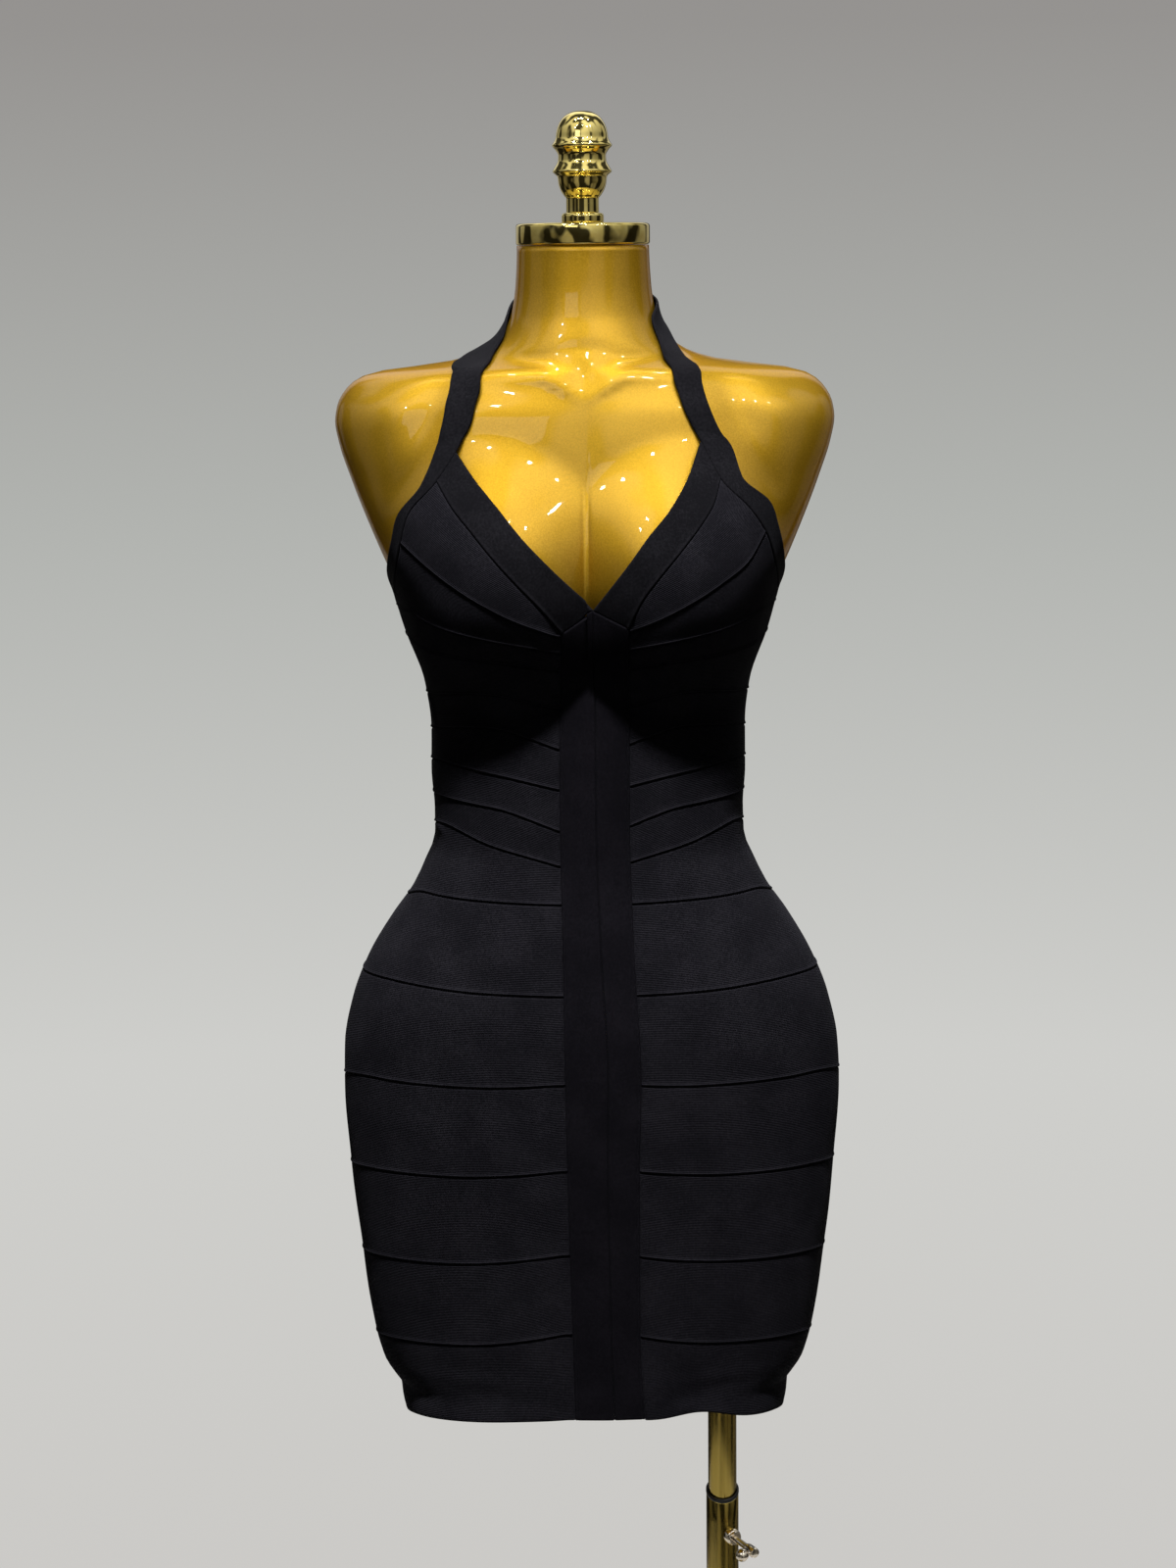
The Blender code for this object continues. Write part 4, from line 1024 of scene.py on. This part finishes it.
# The thumbscrew: its height, the bearing it points to, its lever's tilt (degrees) and reach, and its shank.
SCREW_HEIGHT, SCREW_BEARING, SCREW_BAR_TILT, SCREW_BAR_REACH = 0.5095, 27.0, 4.0, 0.0095
SCREW_START, SCREW_SHANK_LENGTH, SCREW_BAR_INSET, SCREW_BALL_RADIUS = 0.0078, 0.030, 0.0035, 0.005
BOSS_PROFILE = (
    (0, 0), (0.0062, 0), (0.0062, 0.0050), (0.0059, 0.0054), (0.0053, 0.0058), (0.0053, 0.0070),
    (0.0049, 0.0075), (0, 0.0075),
)
SHANK_PROFILE = (
    (0, 0), (0.0022, 0), (0.0025, 0.0003), (0.0025, 0.0165), (0.0030, 0.0178), (0.0037, 0.0186),
    (0.0039, 0.0196), (0.0039, 0.0288), (0.0036, 0.0297), (0.0028, 0.0300), (0, 0.0300),
)
FINIAL_PROFILE = (
    (0.0146, 0.0000), (0.0153, 0.0013), (0.0153, 0.0048), (0.0145, 0.0067), (0.0119, 0.0076),
    (0.0118, 0.0172), (0.0135, 0.0196), (0.0158, 0.0234), (0.0172, 0.0277), (0.0180, 0.0330),
    (0.0191, 0.0341), (0.0214, 0.0365), (0.0204, 0.0384), (0.0174, 0.0444), (0.0172, 0.0478),
    (0.0192, 0.0516), (0.0217, 0.0549), (0.0202, 0.0573), (0.0190, 0.0600), (0.0185, 0.0635),
    (0.0174, 0.0678), (0.0149, 0.0726), (0.0110, 0.0764), (0.0059, 0.0786), (0.0000, 0.0792),
)
FINIAL_PARTS, SCREW_SIDES = 90, 40


def curve_profile(profile, parts):
    """A turned profile with each step rounded by a smooth curve through its points."""
    points = np.array(profile)
    steps = np.concatenate([[0], np.cumsum(np.linalg.norm(np.diff(points, axis=0), axis=1))])
    at = np.linspace(0, steps[-1], parts)
    at = np.unique(np.concatenate([at, steps]))
    return list(zip(smooth_curve(steps, points[:, 0], at), smooth_curve(steps, points[:, 1], at)))


def turned(builder, profile, place, sides, closed=False):
    """Adds a turned solid to the bmesh from its profile of (radius, height), outer side from the bottom up.

    place(x, y, height) puts each point. A closed profile makes a ring."""
    rings = []
    for radius, height in profile:
        turns = [2 * math.pi * i / sides for i in range(sides if radius > 1e-6 else 1)]
        spots = [place(radius * math.cos(turn), radius * math.sin(turn), height) for turn in turns]
        rings.append([builder.verts.new(spot) for spot in spots])
    join_rings(builder, rings + rings[:1] if closed else rings)


def finish_turned(name, builder, material, body, node, sharp):
    piece = finish_piece(name, builder, material, body, node)
    piece.data.set_sharp_from_angle(angle=math.radians(sharp))


def lathe(node, name, profile, material, body, at=(0.0, 0.0), base=0.0, slope=None, sides=96, closed=False):
    """A turned piece about an upright axis; slope(height) says how steeply that level falls to the front."""
    def place(x, y, height):
        return at[0] + x, at[1] + y, base + height + (slope(height) * y if slope else 0.0)

    builder = bmesh.new()
    turned(builder, profile, place, sides, closed)
    finish_turned(name, builder, material, body, node, sharp=50)


def box_of(node):
    low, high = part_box(node)
    return Vector(low), Vector(high)


def edged(bore, radius, low, high, bevel):
    """A ring's profile with its outer edges bevelled."""
    slant = 0.3 * bevel
    return [
        (bore, low), (radius - bevel, low), (radius - slant, low + slant), (radius, low + bevel),
        (radius, high - bevel), (radius - slant, high - slant), (radius - bevel, high), (bore, high),
    ]


def make_caps():
    """The neck's flat cap and the finial on it."""
    low, high = box_of("neck_cap")
    radius, tall = (high.x - low.x) / 2, high.z - low.z
    cap = [
        (0, 0), (radius - 0.0016, 0), (radius - 0.0005, 0.0005), (radius, 0.0016), (radius, tall - 0.0022),
        (radius - 0.0003, tall - 0.0012), (radius - 0.0010, tall - 0.0004), (radius - 0.0022, tall), (0, tall),
    ]
    lathe("neck_cap", "cap_turned", cap, "brass", DRESSED, base=low.z, sides=128)
    low, high = box_of("finial")
    profile = [(0.0, 0.0), FINIAL_PROFILE[0], *curve_profile(FINIAL_PROFILE, FINIAL_PARTS)[1:]]
    lathe("finial", "finial_turned", profile, "brass", DRESSED, base=low.z)


def make_stand():
    """The pole's tubes, sockets and collar, and the base plate."""
    pole = (POLE_X, 0)
    for node, body, bore, bevel in (
        ("form_socket", DRESSED, TUBE_BORE, 0.0015), ("base_socket", STAND, COLLAR_RADIUS, 0.0018)
    ):
        low, high = box_of(node)
        ring = edged(bore, (high.x - low.x) / 2, low.z, high.z, bevel)
        lathe(node, f"{node}_turned", ring, "pole", body, pole, closed=True)
    low, high = box_of("inner_tube")
    radius = (high.x - low.x) / 2
    tube = [(0, low.z), (radius - 0.0008, low.z), (radius, low.z + 0.0008), (radius, high.z), (0, high.z)]
    lathe("inner_tube", "inner_tube_turned", tube, "pole", POST, pole)

    low, _ = box_of("outer_tube")
    bore, radius, top, cut = TUBE_BORE, TUBE_RADIUS, OUTER_TUBE_TOP, OUTER_TUBE_TOP - MOUTH_DEPTH
    outer = [
        (bore, low.z), (radius, low.z), (radius, cut), (radius, top - 0.0005), (radius - 0.0003, top),
        (bore, top), (bore, cut),
    ]
    lathe("outer_tube", "outer_tube_turned", outer, "pole", STAND, pole, closed=True,
          slope=lambda height: MOUTH_SLOPE if height > cut + 0.001 else 0.0)
    start, radius = top + COLLAR_LIFT, COLLAR_RADIUS
    collar = [
        (bore, start), (radius - 0.0002, start), (radius, start + 0.0006), (radius, start + 0.0022),
        (radius - 0.0004, start + 0.0028), (radius - 0.0010, start + 0.0030), (bore, start + 0.0028),
    ]
    lathe("tube_collar", "collar_moulded", collar, "black", STAND, pole, closed=True,
          slope=lambda height: MOUTH_SLOPE)

    low, high = box_of("base_plate")
    radius, thick = (high.x - low.x) / 2, high.z
    plate = [
        (0, 0), (radius - 0.0030, 0), (radius - 0.0009, 0.0009), (radius, 0.0030), (radius, thick - 0.0030),
        (radius - 0.0009, thick - 0.0009), (radius - 0.0030, thick), (radius - 0.012, thick), (0, thick),
    ]
    lathe("base_plate", "base_plate_turned", plate, "pole", STAND, sides=160)


def along_way(origin, direction, across):
    """Puts a point where a frame's Z axis is direction from origin and its X axis leans to across."""
    z = Vector(direction).normalized()
    x = (Vector(across) - Vector(across).dot(z) * z).normalized()
    matrix = Matrix((x, z.cross(x), z)).transposed().to_4x4()
    matrix.translation = origin
    return lambda x, y, height: matrix @ Vector((x, y, height))


def ball_profile(radius, centre, steps=18):
    turns = [math.pi * i / steps for i in range(1, steps)]
    round_it = [(radius * math.sin(turn), centre - radius * math.cos(turn)) for turn in turns]
    return [(0.0, centre - radius), *round_it, (0.0, centre + radius)]


def make_thumbscrew():
    bearing, tilt = math.radians(SCREW_BEARING), math.radians(SCREW_BAR_TILT)
    outward = Vector((math.sin(bearing), -math.cos(bearing), 0.0))
    tangent = Vector((math.cos(bearing), math.sin(bearing), 0.0))
    boss_start = Vector((POLE_X, 0.0, SCREW_HEIGHT)) + outward * COLLAR_RADIUS
    builder = bmesh.new()
    turned(builder, BOSS_PROFILE, along_way(boss_start, outward, tangent), SCREW_SIDES)
    finish_turned("screw_boss_turned", builder, "nickel", STAND, "screw_boss", sharp=40)
    head = boss_start + outward * SCREW_START
    bar_way = -(tangent * math.cos(tilt) + Vector((0, 0, 1)) * math.sin(tilt)).normalized()
    middle = head + outward * (SCREW_SHANK_LENGTH - SCREW_BAR_INSET)
    bar = [(0, 0), (0.0021, 0), (0.0021, SCREW_BAR_REACH), (0, SCREW_BAR_REACH)]
    ball = ball_profile(SCREW_BALL_RADIUS, SCREW_BAR_REACH)
    builder = bmesh.new()
    turned(builder, SHANK_PROFILE, along_way(head, outward, tangent), SCREW_SIDES)
    for profile in (bar, ball):
        turned(builder, profile, along_way(middle, bar_way, outward), SCREW_SIDES)
    finish_turned("thumbscrew_turned", builder, "nickel", SCREW, "thumbscrew", sharp=40)


# ---------------- studio
FLOOR_RADIUS = 0.98
FLOOR_DROP = 0.0005


def make_stage():
    """A round pale floor under the stand."""
    builder = bmesh.new()
    bmesh.ops.create_circle(builder, cap_ends=True, segments=128, radius=FLOOR_RADIUS)
    mesh = bpy.data.meshes.new("floor")
    builder.to_mesh(mesh)
    builder.free()
    floor = bpy.data.objects.new("floor", mesh)
    bpy.context.scene.collection.objects.link(floor)
    floor.location.z = -FLOOR_DROP
    material, tree, shader = new_material("pale_floor")
    clouds = add_noise(tree, object_place(tree), scale=3.0)
    colour = add_ramp(tree, clouds, ((0.35, (0.24, 0.235, 0.225)), (0.65, (0.27, 0.265, 0.26))))
    tree.links.new(colour, shader.inputs["Base Color"])
    shader.inputs["Roughness"].default_value = 0.7
    mesh.materials.append(material)


# The room by how high one looks, from straight down at 0 to straight up at 1: what is seen behind the object, what
# lights it, and what shows in the gold and the polished metal.
ROOM_SEEN = (
    (0.00, (0.60, 0.59, 0.57)), (0.29, (0.60, 0.59, 0.57)), (0.37, (0.62, 0.62, 0.60)),
    (0.46, (0.44, 0.45, 0.43)), (0.54, (0.30, 0.29, 0.28)), (1.00, (0.26, 0.26, 0.26)),
)
ROOM_LIGHT = (
    (0.00, (0.012, 0.012, 0.012)), (0.50, (0.015, 0.015, 0.015)), (0.60, (0.025, 0.025, 0.025)),
    (0.84, (0.05, 0.05, 0.05)), (1.00, (0.07, 0.07, 0.07)),
)
ROOM_MIRRORED = (
    (0.00, (0.10, 0.09, 0.08)), (0.30, (0.15, 0.14, 0.12)), (0.46, (0.21, 0.20, 0.18)),
    (0.54, (0.25, 0.25, 0.24)), (0.72, (0.54, 0.54, 0.53)), (0.86, (0.72, 0.72, 0.71)),
    (1.00, (0.60, 0.60, 0.59)),
)
# How far the mirrored room's dark and bright patches depart from that, and how much dimmer its sides are.
PATCHES = ((0.45, (0.12, 0.12, 0.12)), (0.50, (0.85, 0.85, 0.85)), (0.57, (1.90, 1.90, 1.90)))
PATCH_STRETCH, PATCH_SCALE, PATCH_DETAIL = (1.0, 1.0, 0.5), 2.6, 0.6
SIDES_FROM, SIDES_MIRRORED = 0.25, 0.42


def make_world():
    """A pale room: what is seen behind the object, what lights it and what shows in the gold."""
    world = bpy.data.worlds.new("studio")
    bpy.context.scene.world = world
    world.use_nodes = True
    tree = world.node_tree
    lighting = tree.nodes["Background"]
    seen, mirrored = (tree.nodes.new("ShaderNodeBackground") for _ in range(2))
    direction = tree.nodes.new("ShaderNodeTexCoord").outputs["Generated"]
    split = add_node(tree, "ShaderNodeSeparateXYZ", direction, "Vector")
    lift = add_range(tree, split.outputs["Z"], 0.0, 1.0, start=-1.0)
    for stops, shader in ((ROOM_LIGHT, lighting), (ROOM_SEEN, seen), (ROOM_MIRRORED, mirrored)):
        tree.links.new(add_ramp(tree, lift, stops), shader.inputs["Color"])
    shapes = add_noise(tree, add_stretch(tree, direction, PATCH_STRETCH), PATCH_SCALE, PATCH_DETAIL)
    aside = add_maths(tree, "ABSOLUTE", split.outputs["X"])
    fading = add_range(tree, aside, 1.0, SIDES_MIRRORED, start=SIDES_FROM)
    strength = add_maths(tree, "MULTIPLY", add_ramp(tree, shapes, PATCHES), fading)
    tree.links.new(strength, mirrored.inputs["Strength"])
    chosen = lighting.outputs[0]
    rays = tree.nodes.new("ShaderNodeLightPath")
    for kind, shader in (("Is Glossy Ray", mirrored), ("Is Camera Ray", seen)):
        choose = add_node(tree, "ShaderNodeMixShader", rays.outputs[kind], "Fac")
        tree.links.new(chosen, choose.inputs[1])
        tree.links.new(shader.outputs[0], choose.inputs[2])
        chosen = choose.outputs[0]
    tree.links.new(chosen, tree.nodes["World Output"].inputs["Surface"])
    bpy.context.scene.view_settings.view_transform = "Standard"


def area_light(name, place, target_height, size, power, mirrored):
    """A light that shows only in what mirrors it, or one that only lights what is matt."""
    data = bpy.data.lights.new(name, "AREA")
    data.shape = "RECTANGLE"
    data.size, data.size_y = size
    data.energy = power
    light = bpy.data.objects.new(name, data)
    light.location = place
    way = Vector((0, 0, target_height)) - Vector(place)
    light.rotation_euler = way.to_track_quat("-Z", "Y").to_euler()
    light.visible_glossy, light.visible_diffuse = mirrored, not mirrored
    bpy.context.scene.collection.objects.link(light)


LIGHTS = {
    # place, height of what it points at, size, watts, mirrored
    "key": ((0.0, -1.25, 3.95), 1.1, (0.26, 0.20), 350.0, False),
    "front": ((-1.2, -3.4, 2.9), 1.1, (1.4, 1.0), 8.0, True),
    "back": ((0.3, 3.0, 3.3), 1.1, (0.8, 0.8), 200.0, False),
}
# The small lamps under the ceiling that show in the gold: x and y of each.
SPOTS = (
    (-1.30, -1.9), (-0.75, -1.5), (0.95, -1.8), (1.45, -1.4),
    (-0.62, -0.42), (-0.30, -0.30), (-0.05, -0.25), (0.06, -0.36), (0.62, -0.35), (0.15, -1.55),
)
SPOT_HEIGHT, SPOT_TARGET, SPOT_SIZE, SPOT_POWER = 3.1, 1.3, (0.08, 0.08), 2.4


def make_lights():
    for name, settings in LIGHTS.items():
        area_light(name, *settings)
    for i, (x, y) in enumerate(SPOTS):
        area_light(f"spot_{i}", (x, y, SPOT_HEIGHT), SPOT_TARGET, SPOT_SIZE, SPOT_POWER, True)


# The photograph's viewpoint, with how far it looks down and leans, in degrees.
CAMERA_PLACE = (-0.0004, -2.16, 1.48)
CAMERA_DOWN, CAMERA_LEAN = 9.95, 0.6
CAMERA_LENS, CAMERA_SENSOR = 67.5, 36.0


def make_camera():
    data = bpy.data.cameras.new("camera")
    data.lens, data.sensor_width = CAMERA_LENS, CAMERA_SENSOR
    camera = bpy.data.objects.new("camera", data)
    camera.location = CAMERA_PLACE
    tilt, roll = math.radians(90 - CAMERA_DOWN), math.radians(CAMERA_LEAN)
    camera.rotation_euler = (Matrix.Rotation(tilt, 3, "X") @ Matrix.Rotation(-roll, 3, "Z")).to_euler()
    bpy.context.scene.collection.objects.link(camera)
    bpy.context.scene.camera = camera


make_camera()
make_stage()
make_world()
make_lights()
make_form()
make_caps()
make_stand()
make_thumbscrew()
for side in SIDES:
    make_middle_strip(side)
    make_neck_band(side)
    make_strap(side)
    make_cups(side)
    make_level_bands(side)
make_back_binding()
